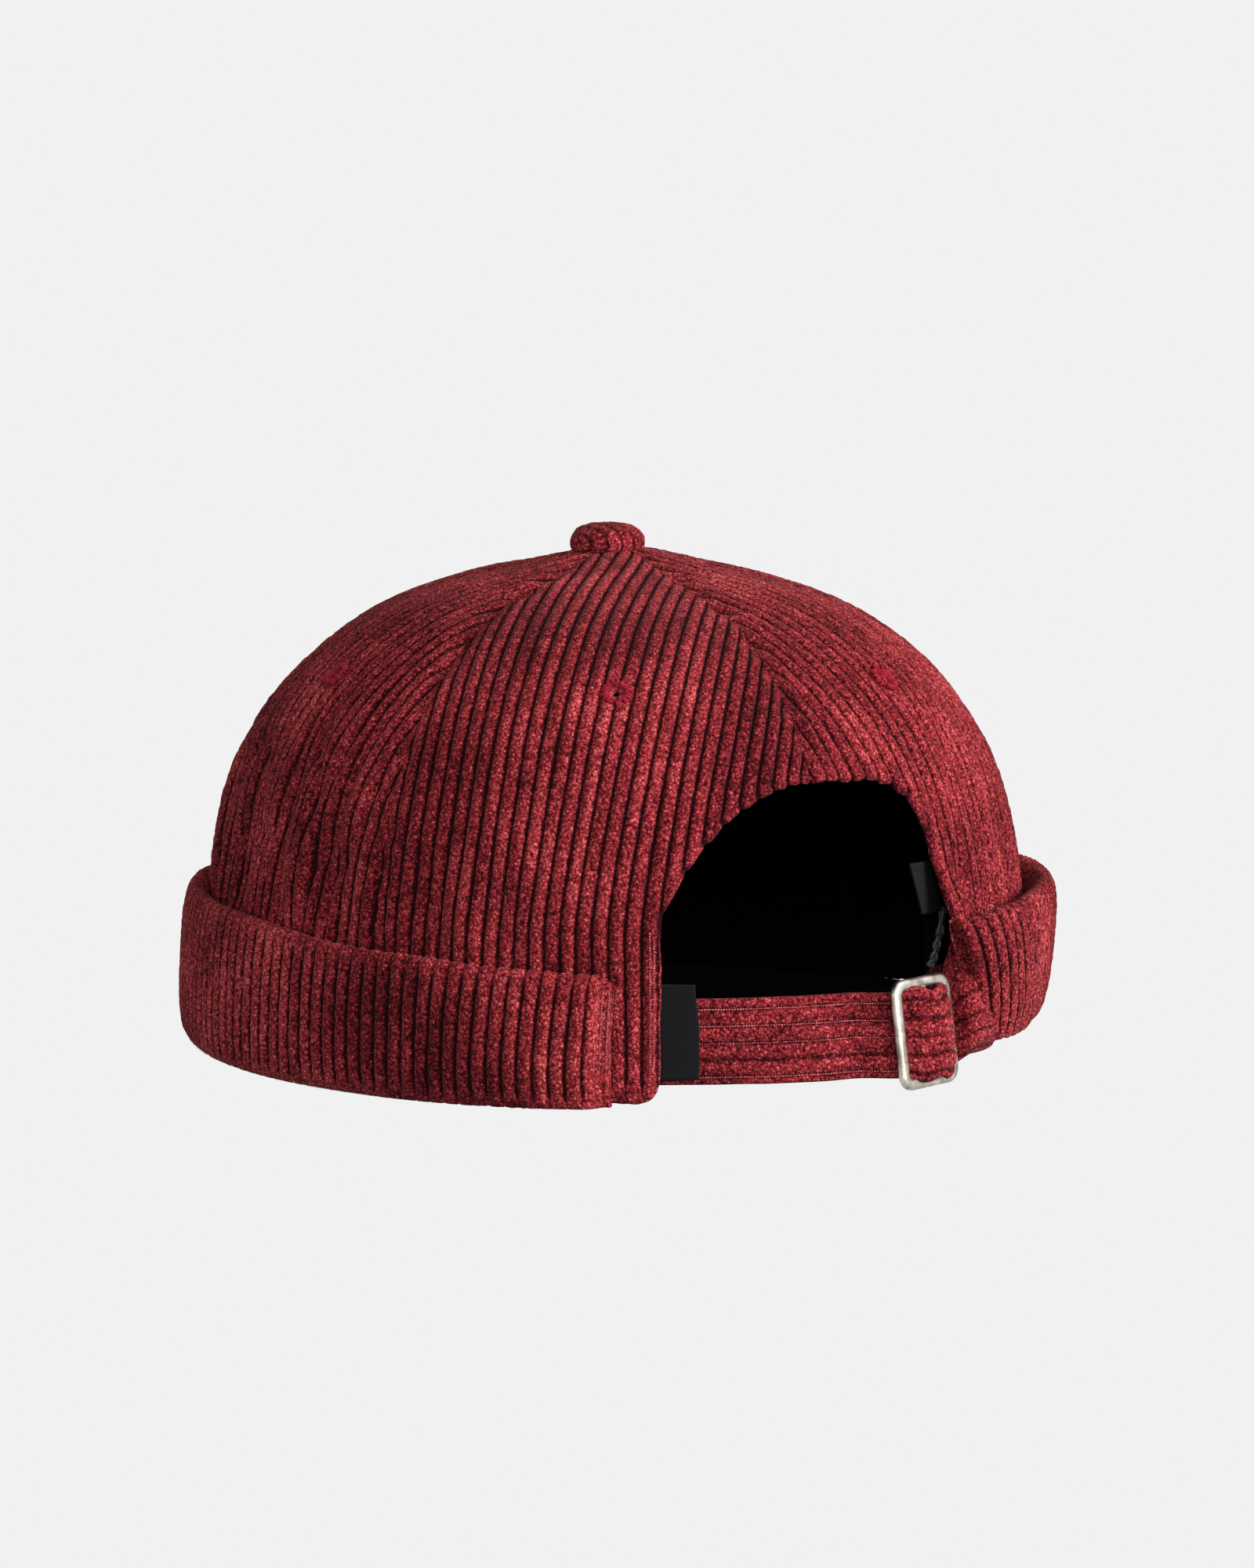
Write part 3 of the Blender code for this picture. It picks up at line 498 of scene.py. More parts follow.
# Satin tag and braid inside the arch's right edge
TAG_WIDTH = 0.0068
TAG_SLANT = 0.0028
TAG_LOW = 0.0362
TAG_HEIGHT = 0.0113
TAG_THICK = 0.0005
TAG_SEWN = 0.0030
TAG_FOLD = 0.0001
TAG_ROWS = 24
TAG_COLUMNS = 14

BRAID_RADIUS = 0.0890
BRAID_ROWS = (
    # azimuth, height
    (335.7, 0.0366),
    (336.2, 0.0325),
    (336.9, 0.0295),
    (337.6, 0.0268),
    (338.8, 0.0240),
)
BRAID_TURN = 0.0034  # length of one crossing of its strands
BRAID_SPREAD = 0.00062
BRAID_STRAND = 0.00050

# Stitches
CROWN_STITCH_ROWS = (
    # azimuth, low, high
    (25.6, 0.006, 0.037),
    (25.05, 0.008, 0.035),
)
CUFF_STITCH_ROWS = (0.0010, 0.0024)  # distance from the cuff's left end
CUFF_STITCH_SHARES = (0.08, 0.90)  # of the cuff's height
STITCH_PITCH = 0.00060
STITCH_LENGTH = 0.00038
STITCH_WIDTH = 0.00037

# Pale ground, with painted shade inside the cap
BACKDROP = 0.8796
FLOOR_HALF = 12.0
SHADE = (0.0012, 0.0010, 0.0011)
SHADE_RADIUS = 0.1000
SHADE_RIM = 0.985  # share of that at which it is full
SHADE_EDGES = (
    # limit, across, along: straight edges short of the strap and of the cuff's raised side
    (0.040, -0.25, 1.0),
    (0.087, -1.0, 0.9),
)
SHADE_SOFT = 0.010

# Camera and lights
CAMERA_AZIMUTH = 29.0
CAMERA_DISTANCE = 1.150
CAMERA_HEIGHT = 0.202
AIM_HEIGHT = 0.0568
AIM_SHIFT = 0.0025
LENS = 116.2
LIGHT_TARGET = (0.0, 0.0, 0.05)
LIGHTS = (
    # name, right, towards the camera, up, distance, size, power
    ("key", 0.84, 0.42, 0.34, 1.8, 0.9, 66.0),
    ("overhead", 0.1, 0.1, 1.0, 2.2, 3.0, 14.0),
    ("front", 0.1, 1.0, 0.25, 2.4, 2.2, 50.0),
    ("left", -1.0, 0.1, 0.2, 2.2, 2.2, 23.0),
)

button_low, button_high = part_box("button")
AXIS = (
    (button_low.x + button_high.x) / 2 - BUTTON_OFFSET[0],
    (button_low.y + button_high.y) / 2 - BUTTON_OFFSET[1],
)
UPRIGHT = np.array([0.0, 0.0, 1.0])


def unit(vectors):
    return vectors / np.maximum(np.linalg.norm(vectors, axis=-1, keepdims=True), 1e-12)


def run_lengths(rows, columns=2):
    """Distance along the rows up to each of them, measured by their first columns."""
    steps = np.linalg.norm(np.diff(rows[:, :columns], axis=0), axis=1)
    return np.concatenate([[0.0], np.cumsum(steps)])


def smooth(points, count):
    """Count rows, evenly spaced, along a smooth curve through the given ones."""
    knots = np.array(points, float)
    chord = run_lengths(knots)
    slopes = np.gradient(knots, chord, axis=0)
    fine = np.linspace(0.0, chord[-1], SMOOTH_STEPS * len(knots))
    index = np.clip(np.searchsorted(chord, fine, side="right") - 1, 0, len(knots) - 2)
    span = (chord[index + 1] - chord[index])[:, None]
    t = (fine - chord[index])[:, None] / span
    curve = (
        (1 + 2 * t) * (1 - t) ** 2 * knots[index]
        + t * (1 - t) ** 2 * span * slopes[index]
        + t**2 * (3 - 2 * t) * knots[index + 1]
        + t**2 * (t - 1) * span * slopes[index + 1]
    )
    run = run_lengths(curve)
    even = np.linspace(0.0, run[-1], count)
    return np.stack([np.interp(even, run, curve[:, k]) for k in range(curve.shape[1])], axis=1)


def blend(share):
    """0 to 1 with level ends."""
    share = np.clip(share, 0.0, 1.0)
    return share * share * (3 - 2 * share)


def eased(value, start, end):
    """0 at the start and 1 at the end, with level ends; either may be the larger."""
    return blend((value - start) / (end - start))


def turn_from(start, azimuth):
    """Degrees from one azimuth to another, the short way round."""
    return (azimuth - start + 180) % 360 - 180


def rounded_square(turn, squareness):
    """Places from -1 to 1 on the outline of a rounded square, at angles round it."""
    x, z = np.cos(turn), np.sin(turn)
    size = (np.abs(x) ** squareness + np.abs(z) ** squareness) ** (-1 / squareness)
    return x * size, z * size


def rows_at(table, azimuth):
    """The columns of a table after its first, which is azimuth, eased between its rows."""
    rows = np.array(table, float)
    at = rows[:, 0]
    index = np.clip(np.searchsorted(at, azimuth, side="right") - 1, 0, len(at) - 2)
    share = blend((azimuth - at[index]) / (at[index + 1] - at[index]))[..., None]
    return rows[index, 1:] + (rows[index + 1, 1:] - rows[index, 1:]) * share


def grain(u, v, seed):
    """Smooth unevenness from -1 to 1 over a plane, the same each run and another for each seed."""
    table = np.random.default_rng(seed).uniform(-1, 1, (251, 257))
    column, row = np.floor(u).astype(int), np.floor(v).astype(int)
    across, along = blend(u - column), blend(v - row)

    def line(step):
        near, far = table[column % 251, (row + step) % 257], table[(column + 1) % 251, (row + step) % 257]
        return near * (1 - across) + far * across

    return line(0) * (1 - along) + line(1) * along


def pile(across, along, seed, fine_seed):
    """Unevenness of the pile at lengths across and along the wales."""
    u, v = across / PILE_SIZE, along / PILE_SIZE
    share, fine_across, fine_along = PILE_FINE
    fine = grain(u * fine_across, v * fine_along, fine_seed)
    return PILE * (grain(u * PILE_ACROSS, v, seed) + share * fine)


def plan(azimuth, radius, height=0.0):
    """Points at these azimuths and radii on the head's oval."""
    angle = np.radians(azimuth)
    x = AXIS[0] + OVAL_WIDTH * radius * np.sin(angle)
    y = AXIS[1] + OVAL_LENGTH * radius * np.cos(angle)
    return np.stack(np.broadcast_arrays(x, y, height), axis=-1)


def degrees_of(length):
    return math.degrees(length / CROWN_RADIUS)


def wale(phase):
    """Height of the corduroy from 0 in a valley to 1 on a crest, which lies at each whole phase."""
    side = np.abs(phase - np.round(phase)) * 2
    return (1 - side**WALE_SQUARE) ** WALE_ROUND


def crown_profile():
    """The crown's side from top to hem: run, radius, height, outward normal, widest radius so far."""
    rows = [(r * CROWN_RADIUS, HEM_HEIGHT + h * (CROWN_HEIGHT - HEM_HEIGHT)) for r, h in PROFILE]
    rows[0] = (TOP_HOLE, CROWN_HEIGHT)
    points = smooth(rows, PROFILE_STEPS)
    along = unit(np.gradient(points, axis=0))
    return {
        "run": run_lengths(points),
        "radius": points[:, 0],
        "height": points[:, 1],
        "out": -along[:, 1],
        "up": along[:, 0],
        "widest": np.maximum.accumulate(points[:, 0]),
    }


SIDE = crown_profile()


def side_at(run, key):
    return np.interp(run, SIDE["run"], SIDE[key])


def run_at(height):
    return np.interp(-height, -SIDE["height"], SIDE["run"])


def lifted(azimuth, height):
    """A height of the crown's lower part, raised with the hem."""
    rise = rows_at(HEM_ROWS, azimuth % 360)[..., 0]
    return height + rise * CUFF_HEIGHT * (1 - blend(height / CUFF_HEIGHT))


def on_crown(azimuth, run, depth):
    """Points on the crown's side at these azimuths and runs, moved out by a depth."""
    out, up = side_at(run, "out"), side_at(run, "up")
    level = lifted(azimuth, side_at(run, "height"))
    return plan(azimuth, side_at(run, "radius") + out * depth, level + up * depth)


def crown_normal(azimuth, run):
    step = 0.5
    across = on_crown(azimuth + step, run, 0.0) - on_crown(azimuth - step, run, 0.0)
    down = on_crown(azimuth, run + 0.0005, 0.0) - on_crown(azimuth, run - 0.0005, 0.0)
    return unit(np.cross(across, down))


def dents(table, azimuth, height):
    out = np.zeros(np.shape(azimuth))
    for at, level, half_width, half_height, depth in table:
        across = turn_from(at, azimuth) / half_width
        along = (height / CROWN_HEIGHT - level) / half_height
        out = out - depth * CLOTH * np.exp(-(across**2 + along**2))
    return out


def eyelet_place(number):
    """Middle and outward normal of an eyelet on the crown."""
    run = run_at(EYELET_HEIGHT)
    azimuth = np.array(EYELET_AZIMUTHS[number])
    normal = crown_normal(azimuth, run)
    return on_crown(azimuth, run, PANEL_BULGE), normal


def add_mesh(name, points, faces, uvs, looks, face_looks=None, faint=None):
    """A closed mesh with its faces pointing out, a texture map in wales and how faint the painted shade in
    its valleys is.
    """
    mesh = bpy.data.meshes.new(name)
    mesh.from_pydata(np.asarray(points, float).tolist(), [], faces)
    shape = bmesh.new()
    if face_looks is not None:
        mesh.polygons.foreach_set("material_index", face_looks)
    shape.from_mesh(mesh)
    bmesh.ops.recalc_face_normals(shape, faces=shape.faces)
    shape.to_mesh(mesh)
    shape.free()
    if uvs is not None:
        corners = np.zeros(len(mesh.loops), int)
        mesh.loops.foreach_get("vertex_index", corners)
        layer = mesh.uv_layers.new(name="UVMap")
        layer.data.foreach_set("uv", np.asarray(uvs, np.float32)[corners].ravel())
    # faint: how much of the painted shade in the valleys is left out
    if faint is not None:
        layer = mesh.attributes.new("faint", "FLOAT", "POINT")
        layer.data.foreach_set("value", np.asarray(faint, np.float32).ravel())
    mesh.shade_smooth()
    piece = bpy.data.objects.new(name, mesh)
    bpy.context.scene.collection.objects.link(piece)
    for look in looks:
        mesh.materials.append(look)
    return piece


def strip(first, second, faces):
    """Joins two neighbouring columns of (run, point) with quads at equal runs and triangles elsewhere."""
    i = k = 0
    while i + 1 < len(first) or k + 1 < len(second):
        a, b = first[i][1], second[k][1]
        next_a = first[i + 1][0] if i + 1 < len(first) else math.inf
        next_b = second[k + 1][0] if k + 1 < len(second) else math.inf
        if abs(next_a - next_b) < 1e-7:
            faces.append((a, b, second[k + 1][1], first[i + 1][1]))
            i += 1
            k += 1
        elif next_a < next_b:
            faces.append((a, b, first[i + 1][1]))
            i += 1
        else:
            faces.append((a, b, second[k + 1][1]))
            k += 1


def arch_level(azimuth):
    """Height of the arch's outline over an azimuth, with room for its turned edge, or 0 beside it."""
    outline = smooth(ARCH_ROWS, 240)[::-1]
    across = turn_from(ARCH_MIDDLE, azimuth) / (ARCH_HALF_WIDTH + degrees_of(EDGE_ROOM))
    level = np.interp(across, outline[:, 0], outline[:, 1]) * ARCH_TOP + ARCH_ROOM
    return np.where(np.abs(across) < 1, level, 0.0)


class PanelPlan:
    """Where a panel's columns of points lie and where each of them starts and ends."""

    def __init__(self, number):
        self.start = SEAM_AZIMUTHS[number]
        self.width = (SEAM_AZIMUTHS[(number + 1) % len(SEAM_AZIMUTHS)] - self.start) % 360
        self.middle = self.start + self.width / 2
        self.half = math.radians(self.width) / 2 + SEAM_LAP / CROWN_RADIUS
        self.hem = run_at(HEM_HEIGHT + HEM_ROOM)
        self.side = {0: -1, len(SEAM_AZIMUTHS) - 1: 1}.get(number, 0)
        self.tilt = PANEL_TILTS[number]
        self.spring = run_at(ARCH_ROWS[0][1] * ARCH_TOP + ARCH_ROOM)
        self.seam_line = SIDE["widest"] * self.half
        self.shifted = self.shift(SIDE["run"])
        low, high = -self.seam_line[-1], self.seam_line[-1]
        special = []
        self.shoulder = None
        if self.tilt:
            self.shoulder = float(np.interp(self.spring, SIDE["run"], self.seam_line))
            high = float(np.max((self.seam_line - self.shifted)[SIDE["run"] < self.spring]))
            special.append(self.shoulder)
        if self.side:
            edge = ARCH_MIDDLE - self.side * (ARCH_HALF_WIDTH + degrees_of(EDGE_ROOM))
            self.upright = SIDE["widest"][-1] * math.radians(turn_from(self.middle, edge))
            seam = self.start if self.side < 0 else self.start + self.width
            self.meeting = run_at(float(arch_level(np.array(seam))))
            tip = side_at(self.meeting, "widest") * self.half * self.side - float(self.shift(self.meeting))
            low, high = (tip, high) if self.side < 0 else (low, tip)
            special.append(self.upright)
        count = int(max(abs(low), abs(high)) / WALE) + 2
        lines = [(n + phase) * WALE for n in range(-count, count + 1) for phase in WALE_PHASES]
        taken = [low, high] + special
        lines = [w for w in lines if low < w < high and min(abs(w - s) for s in taken) > NEAREST_LINES]
        self.lines = np.array(sorted(lines + taken))
        ends = [self.ends_of(w) for w in self.lines]
        self.first_run = np.array([first for first, last in ends])
        self.last_run = np.array([last for first, last in ends])

    def shift(self, run):
        """How far the tilted wales have moved across at a run, against where they end up."""
        above = np.maximum(self.spring - run, 0.0)
        return -self.tilt * above**2 / (above + TILT_EASE)

    def azimuth(self, line, run):
        return self.middle + np.degrees((line + self.shift(run)) / side_at(run, "widest"))

    def beside_seam(self, azimuth, run):
        """Share of the way across the panel, and distance from the nearer seam."""
        share = (azimuth - self.start) / self.width
        return share, np.minimum(share, 1 - share) * math.radians(self.width) * side_at(run, "radius")

    def in_arch(self, line):
        return bool(self.side) and (line - self.upright) * self.side > 1e-9

    def ends_of(self, line):
        """Runs at which a column starts and ends: at a seam, the arch, the lower corner or the hem."""
        room = self.seam_line - np.abs(line + self.shifted)
        if self.side:
            tip = self.side * side_at(self.meeting, "widest") * self.half - float(self.shift(self.meeting))
            if abs(line - tip) < 1e-7:
                return self.meeting, self.meeting
        inside = int(np.argmax(room > 0))
        first = self.crossing(room, inside) if inside else 0.0
        if room.max() < 1e-6:
            first = SIDE["run"][int(np.argmax(room > -1e-9))]
            if self.tilt:
                return first, first
        if self.in_arch(line):
            above = SIDE["height"] - arch_level(self.azimuth(line, SIDE["run"]))
            return first, self.crossing(above, int(np.argmax(above <= 0)))
        if self.shoulder is not None and line > self.shoulder + 1e-9:
            below = inside + int(np.argmax(room[inside:] <= 0))
            return first, self.crossing(room, below)
        if not self.side:
            return first, self.hem
        away = min(abs(line - self.upright) / ARCH_CORNER, 1.0)
        rise = ARCH_CORNER * (1 - math.cos(math.asin(1 - away)))
        return first, run_at(HEM_HEIGHT + HEM_ROOM + rise)

    def crossing(self, values, index):
        """Run at which the values pass through zero, just before an index."""
        share = values[index - 1] / (values[index - 1] - values[index])
        return SIDE["run"][index - 1] + share * (SIDE["run"][index] - SIDE["run"][index - 1])

    def levels(self, column, row, always=()):
        """Runs of a column's points."""
        first, last = self.first_run[column], self.last_run[column]
        if last - first < 1e-7:
            return [first]
        inner = [n * row for n in range(int(first / row), int(last / row) + 1)]
        azimuth = self.azimuth(self.lines[column], last) % 360
        if HIDDEN_AZIMUTHS[0] < azimuth < HIDDEN_AZIMUTHS[1]:
            hidden = run_at(HIDDEN_HEIGHT)
            inner = [run for run in inner if run < hidden or round(run / row) % HIDDEN_STEP == 0]
        fixed = [first, last] + [run for run in always if first < run < last]
        inner = [run for run in inner if first < run < last and min(abs(run - f) for f in fixed) > 0.3 * row]
        return sorted(inner + fixed)


def panel_faint(azimuth, height):
    """How faint the valleys between the wales are, from 0 to 1: shallower and with less painted shade."""
    low, high = np.moveaxis(rows_at(FAINT_ROWS, azimuth % 360), -1, 0)
    shown = 1 - (low + (high - low) * eased(height, *FAINT_HEIGHTS))
    return 1 - shown * eased(height, *FAINT_HEM)


def panel_depth(shape, number, line, run, azimuth):
    """Relief of the panel's plain cloth and the height of its wales, at each point."""
    height, radius = side_at(run, "height"), side_at(run, "radius")
    share, seam = shape.beside_seam(azimuth, run)
    base = PANEL_BULGE * np.sin(np.pi * np.clip(share, 0, 1)) - SEAM_DEPTH * eased(seam, SEAM_REACH, 0)
    base = base + dents(DENTS + FOLDS, azimuth, height)
    drape = grain(line / DRAPE_SIZE, run / DRAPE_SIZE / 1.6, 10 + number)
    base = base + DRAPE * drape * blend(seam / DRAPE_SEAM)
    swells = grain(line / BUNCH_WIDTH + 7, run / BUNCH_LENGTH, 130 + number)
    creases = 1 - np.abs(grain(line / CREASE_WIDTH + 7, run / CREASE_LENGTH, 140 + number))
    bunched = BUNCHES[number] * blend(seam / BUNCH_SEAM)
    bunched = bunched * eased(height, *BUNCH_LOW) * eased(height, *BUNCH_HIGH)
    base = base + (BUNCH * swells - CREASE * creases**CREASE_SHARP) * bunched
    base = np.where(base < 0, DEEPEST * np.tanh(base / DEEPEST), base)
    base = base * blend(radius / (RELIEF_FADE * CROWN_RADIUS))
    seam_number = (number + np.round(share).astype(int)) % len(SEAM_AZIMUTHS)
    pucker = SEAM_PUCKER * grain(run / PUCKER_SIZE, 5.3 * seam_number, 150)
    base = base + pucker * eased(seam, PUCKER_REACH, 0) * eased(radius, *PUCKER_RADII)
    base = base + PEAK * eased(radius, *PEAK_RADII)
    strength = WALE_MEAN + WALE_CHANGE * grain(line / WALE * 0.7, run / WALE_CHANGE_LENGTH, 20 + number)
    strength = strength * (WALE_SEAM + (1 - WALE_SEAM) * blend(seam / WALE_SEAM_REACH))
    strength = strength * (1 - WALE_FAINT * panel_faint(azimuth, height))
    strength = strength * (WALE_HEM + (1 - WALE_HEM) * eased(height, *WALE_HEM_HEIGHTS))
    ribs = WALE_HEIGHT * (wale(line / WALE) - 1) * strength
    return base, ribs + pile(line, run, 30 + number, 40 + number)


def panel_columns(shape, cut):
    """Columns of (run, point) of the outer and the inner skin, with every point's line and run."""
    count = len(shape.lines)
    outer = [shape.levels(c, ROW, (shape.spring,) if c in cut else ()) for c in range(count)]
    inner = [shape.levels(c, INNER_ROW) for c in range(count)]
    for c in cut:
        if c is not None:
            inner[c] = [run for run in inner[c] if run < shape.spring - INNER_ROOM]
            inner[c] += [run for run in outer[c] if run >= shape.spring - 1e-9]
    inner[0], inner[-1] = outer[0], outer[-1]
    skins, line, run = [], [], []
    for skin in (outer, inner):
        columns = []
        for c, levels in enumerate(skin):
            columns.append([(level, len(line) + k) for k, level in enumerate(levels)])
            line += [shape.lines[c]] * len(levels)
            run += levels
        skins.append(columns)
    return skins, np.array(line), np.array(run)


def panel_faces(shape, columns, upright, shoulder):
    """Faces of one skin; where a cut starts, they go on at one side of it alone."""
    faces = []
    for c in range(len(columns) - 1):
        first, second = columns[c], columns[c + 1]
        if shape.side < 0 and c + 1 == upright:
            second = [p for p in second if p[0] <= shape.spring + 1e-9]
        if (shape.side > 0 and c == upright) or c == shoulder:
            first = [p for p in first if p[0] <= shape.spring + 1e-9]
        strip(first, second, faces)
    return faces


def panel_rim(shape, columns, upright, shoulder):
    """Points round one skin, and which of them lie on an edge that isn't sewn to a neighbour."""
    rim = [(column[0][1], False) for column in columns]
    if shape.side <= 0:
        rim += [(p[1], False) for p in columns[-1][1:]]
    for c in range(len(columns) - 2, -1, -1):
        below = [p[1] for p in columns[c] if p[0] >= shape.spring - 1e-9]
        if c == upright:
            rim += [(point, True) for point in below[:: shape.side]]
        elif c == shoulder:
            rim += [(point, False) for point in below]
        elif len(columns[c]) > 1:
            rim.append((columns[c][-1][1], shoulder is None or c < shoulder))
    if shape.side >= 0:
        rim += [(p[1], False) for p in columns[0][-2:0:-1]]
    return [point for point, free in rim], np.array([free for point, free in rim], float)


def crown_panel(number, cloth, inside):
    """One sewn panel: ribbed outer face, turned edge along the arch and hem, and a plain inner face."""
    shape = PanelPlan(number)
    upright = int(np.argmin(np.abs(shape.lines - shape.upright))) if shape.side else None
    shoulder = int(np.argmin(np.abs(shape.lines - shape.shoulder))) if shape.tilt else None
    skins, line, run = panel_columns(shape, (upright, shoulder))
    outer_count = skins[1][0][0][1]

    azimuth = shape.azimuth(line, run)
    end = np.interp(line, shape.lines, shape.last_run)
    calm = blend(shape.beside_seam(azimuth, run)[1] / WANDER_CALM) * blend((end - run) / WANDER_CALM)
    if shape.side:
        calm = calm * blend(np.abs(line - shape.upright) / WANDER_CALM)
    stray = WANDER * grain(line / WANDER_SIZE, run / WANDER_SIZE / 1.5, 50 + number) * calm
    azimuth = shape.azimuth(line + stray, run)
    base, ribs = panel_depth(shape, number, line, run, azimuth)

    plain = on_crown(azimuth, run, 0.0)
    faint = panel_faint(azimuth, side_at(run, "height"))
    for k in range(len(EYELET_AZIMUTHS)):
        away = np.linalg.norm(plain - eyelet_place(k)[0], axis=1)
        flat = eased(away, *EYELET_FLAT)
        faint = np.maximum(faint, EYELET_FAINT * flat)
        ribs = ribs * (1 - flat) - EYELET_LEVEL * flat - EYELET_PIT * eased(away, *EYELET_PIT_RADII)
    depth = base + ribs
    depth[outer_count:] = base[outer_count:] - CLOTH
    points = on_crown(azimuth, run, depth)
    uvs = np.stack([line / WALE, run / WALE], axis=1)

    faces, looks = [], []
    for look, columns in enumerate(skins):
        skin = panel_faces(shape, columns, upright, shoulder)
        faces += skin
        looks += [look] * len(skin)
    outer_rim, free = panel_rim(shape, skins[0], upright, shoulder)
    inner_rim, _ = panel_rim(shape, skins[1], upright, shoulder)
    free = (np.roll(free, 1) + free + np.roll(free, -1)) / 3
    along = np.roll(plain[outer_rim], -2, axis=0) - np.roll(plain[outer_rim], 2, axis=0)
    away = unit(np.cross(along, crown_normal(azimuth[outer_rim], run[outer_rim])))
    for _ in range(4):
        away = unit((np.roll(away, 1, axis=0) + 2 * away + np.roll(away, -1, axis=0)) / 4)
    level = side_at(run[outer_rim], "height")
    lobe = EDGE_HEM_LOBE + (wale(line[outer_rim] / WALE) - EDGE_HEM_LOBE) * eased(level, *EDGE_HEM_HEIGHTS)
    rough = grain(np.arange(len(outer_rim)) / 4.0, 0.0, 160 + number)
    roll = EDGE_ROLL * free * (EDGE_EVEN + EDGE_LOBE * lobe + EDGE_ROUGH * rough)
    beside = np.abs(line[outer_rim] - (shape.upright if shape.side else math.inf)) < 1e-9
    turned_uv = np.where(beside[:, None], np.array([float(shape.side), 0.0]), np.array([0.0, 1.0]))
    rings = [outer_rim]
    all_points, all_uvs, all_faint = [points], [uvs], [faint]
    total = len(points)
    for k in range(1, EDGE_RINGS + 1):
        turn = math.pi * k / (EDGE_RINGS + 1)
        near, far = (1 + math.cos(turn)) / 2, (1 - math.cos(turn)) / 2
        ring = points[outer_rim] * near + points[inner_rim] * far
        all_points.append(ring + away * (roll * math.sin(turn))[:, None])
        all_uvs.append(uvs[outer_rim] + turned_uv * (k * EDGE_MAP_STEP * free)[:, None])
        all_faint.append(faint[outer_rim])
        rings.append(list(range(total, total + len(outer_rim))))
        total += len(outer_rim)
    rings.append(inner_rim)
    for k, (near, far) in enumerate(zip(rings, rings[1:])):
        for n in range(len(outer_rim)):
            step = (n + 1) % len(outer_rim)
            faces.append(tuple(dict.fromkeys((near[n], near[step], far[step], far[n]))))
            looks.append(0 if k < EDGE_RINGS - 2 else 1)
    points, uvs, faint = (np.concatenate(rows) for rows in (all_points, all_uvs, all_faint))
    piece = add_mesh(f"panel_{number + 1}", points, faces, uvs, (cloth, inside), looks, faint)
    return dress(piece, "corduroy", f"crown_panel_{number + 1}")


def dress(piece, slot, *nodes):
    """Ties a piece to the cap's body and hides the solids that it stands for; its slot, the finish it is
    made in, is not used.
    """
    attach(piece, "root")
    if nodes:
        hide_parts(*nodes)
    return piece


def crown_clear():
    """A radius just outside the crown's plain cloth."""
    return max(row[0] for row in PROFILE) * CROWN_RADIUS + PANEL_BULGE + GAP


def strap_seat():
    """The radius on which the leaning strap lies."""
    return crown_clear() + math.sin(math.radians(STRAP_LEAN)) * STRAP_WIDTH / 2


def cuff_turns():
    """Angles round the cuff's loop: close together on the face that shows, wide apart against the crown."""
    turn = np.radians(np.linspace(-180, 180, 4001))
    x, z = rounded_square(turn, CUFF_SQUARENESS)
    run = run_lengths(np.stack([x * CUFF_PROUD / 2, z * CUFF_HEIGHT / 2], axis=1))
    face_runs = run[x > CUFF_FACE_FROM]
    face = np.linspace(face_runs[0], face_runs[-1], CUFF_FACE_POINTS)
    rest = run[-1] - (face_runs[-1] - face_runs[0])
    back = face_runs[-1] + rest * np.arange(1, CUFF_BACK_POINTS + 1) / (CUFF_BACK_POINTS + 1)
    return np.interp(np.concatenate([face, back % run[-1]]), run, turn)


def cuff_base(azimuth, turns, depth_share):
    """Points of the cuff's loop at each azimuth, before its wales, and their share of its height."""
    lift, tall, proud, lean, lead, over = np.moveaxis(rows_at(CUFF_ROWS, azimuth), -1, 0)[:, :, None]
    low, height = lift * CUFF_HEIGHT, tall * CUFF_HEIGHT
    seat = crown_clear() + over * (strap_seat() - crown_clear() + STRAP_THICK + 2 * GAP)
    depth = proud * CUFF_PROUD * depth_share[:, None]
    x, z = rounded_square(turns[None, :], CUFF_SQUARENESS)
    out = depth / 2 * (1 + x)
    level = low - CUFF_FLAT + (height + CUFF_FLAT) / 2 * (1 + z)
    rise = (level - low) / height
    out = out + lean * CUFF_LEAN * (0.5 - rise) * blend(out / depth)
    out = out - CUFF_TUCK * eased(out, depth / 2, 0)
    slant = rows_at(CUFF_SLANT_ROWS, azimuth)[..., 0][:, None] * (1 - rise)
    slant = slant * (1 - CUFF_SLANT_EASE * np.clip(1 - rise, 0, 1) ** 4)
    turn = azimuth[:, None] + lead * np.clip(rise, 0, 1) ** 2 + slant
    corner = np.clip(1 - np.radians(azimuth - CUFF_ROWS[0][0]) * CROWN_RADIUS / CUFF_CORNER, 0, 1)
    drop = CUFF_CORNER * (1 - np.sqrt(1 - corner**2))[:, None] * eased(rise, *CUFF_CORNER_RISE)
    return plan(turn, seat + out, np.maximum(level - drop, 0.0)), rise


def band_faces(rows, columns, closed=False):
    """Faces of a band of rings, which meets its own start where it is closed and is capped where not."""
    ring = np.arange(rows * columns).reshape(rows, columns)
    beside = np.roll(ring, -1, axis=1)
    quads = np.stack([ring, beside, np.roll(beside, -1, axis=0), np.roll(ring, -1, axis=0)], axis=-1)
    if not closed:
        quads = quads[:-1]
    faces = [tuple(quad) for quad in quads.reshape(-1, 4).tolist()]
    if not closed:
        faces += [tuple(ring[0].tolist()), tuple(ring[-1, ::-1].tolist())]
    return faces


def loop_mesh(name, grid, uvs, look, faint=None):
    """A closed band: rows of points round a loop, capped at both ends."""
    faces = band_faces(*grid.shape[:2])
    return add_mesh(name, grid.reshape(-1, 3), faces, uvs.reshape(-1, 2), (look,), None, faint)


def grid_map(across, along):
    """A texture map of a grid, from the places of its columns and of its rows."""
    return np.stack(np.broadcast_arrays(across[None, :], along[:, None]), axis=-1)


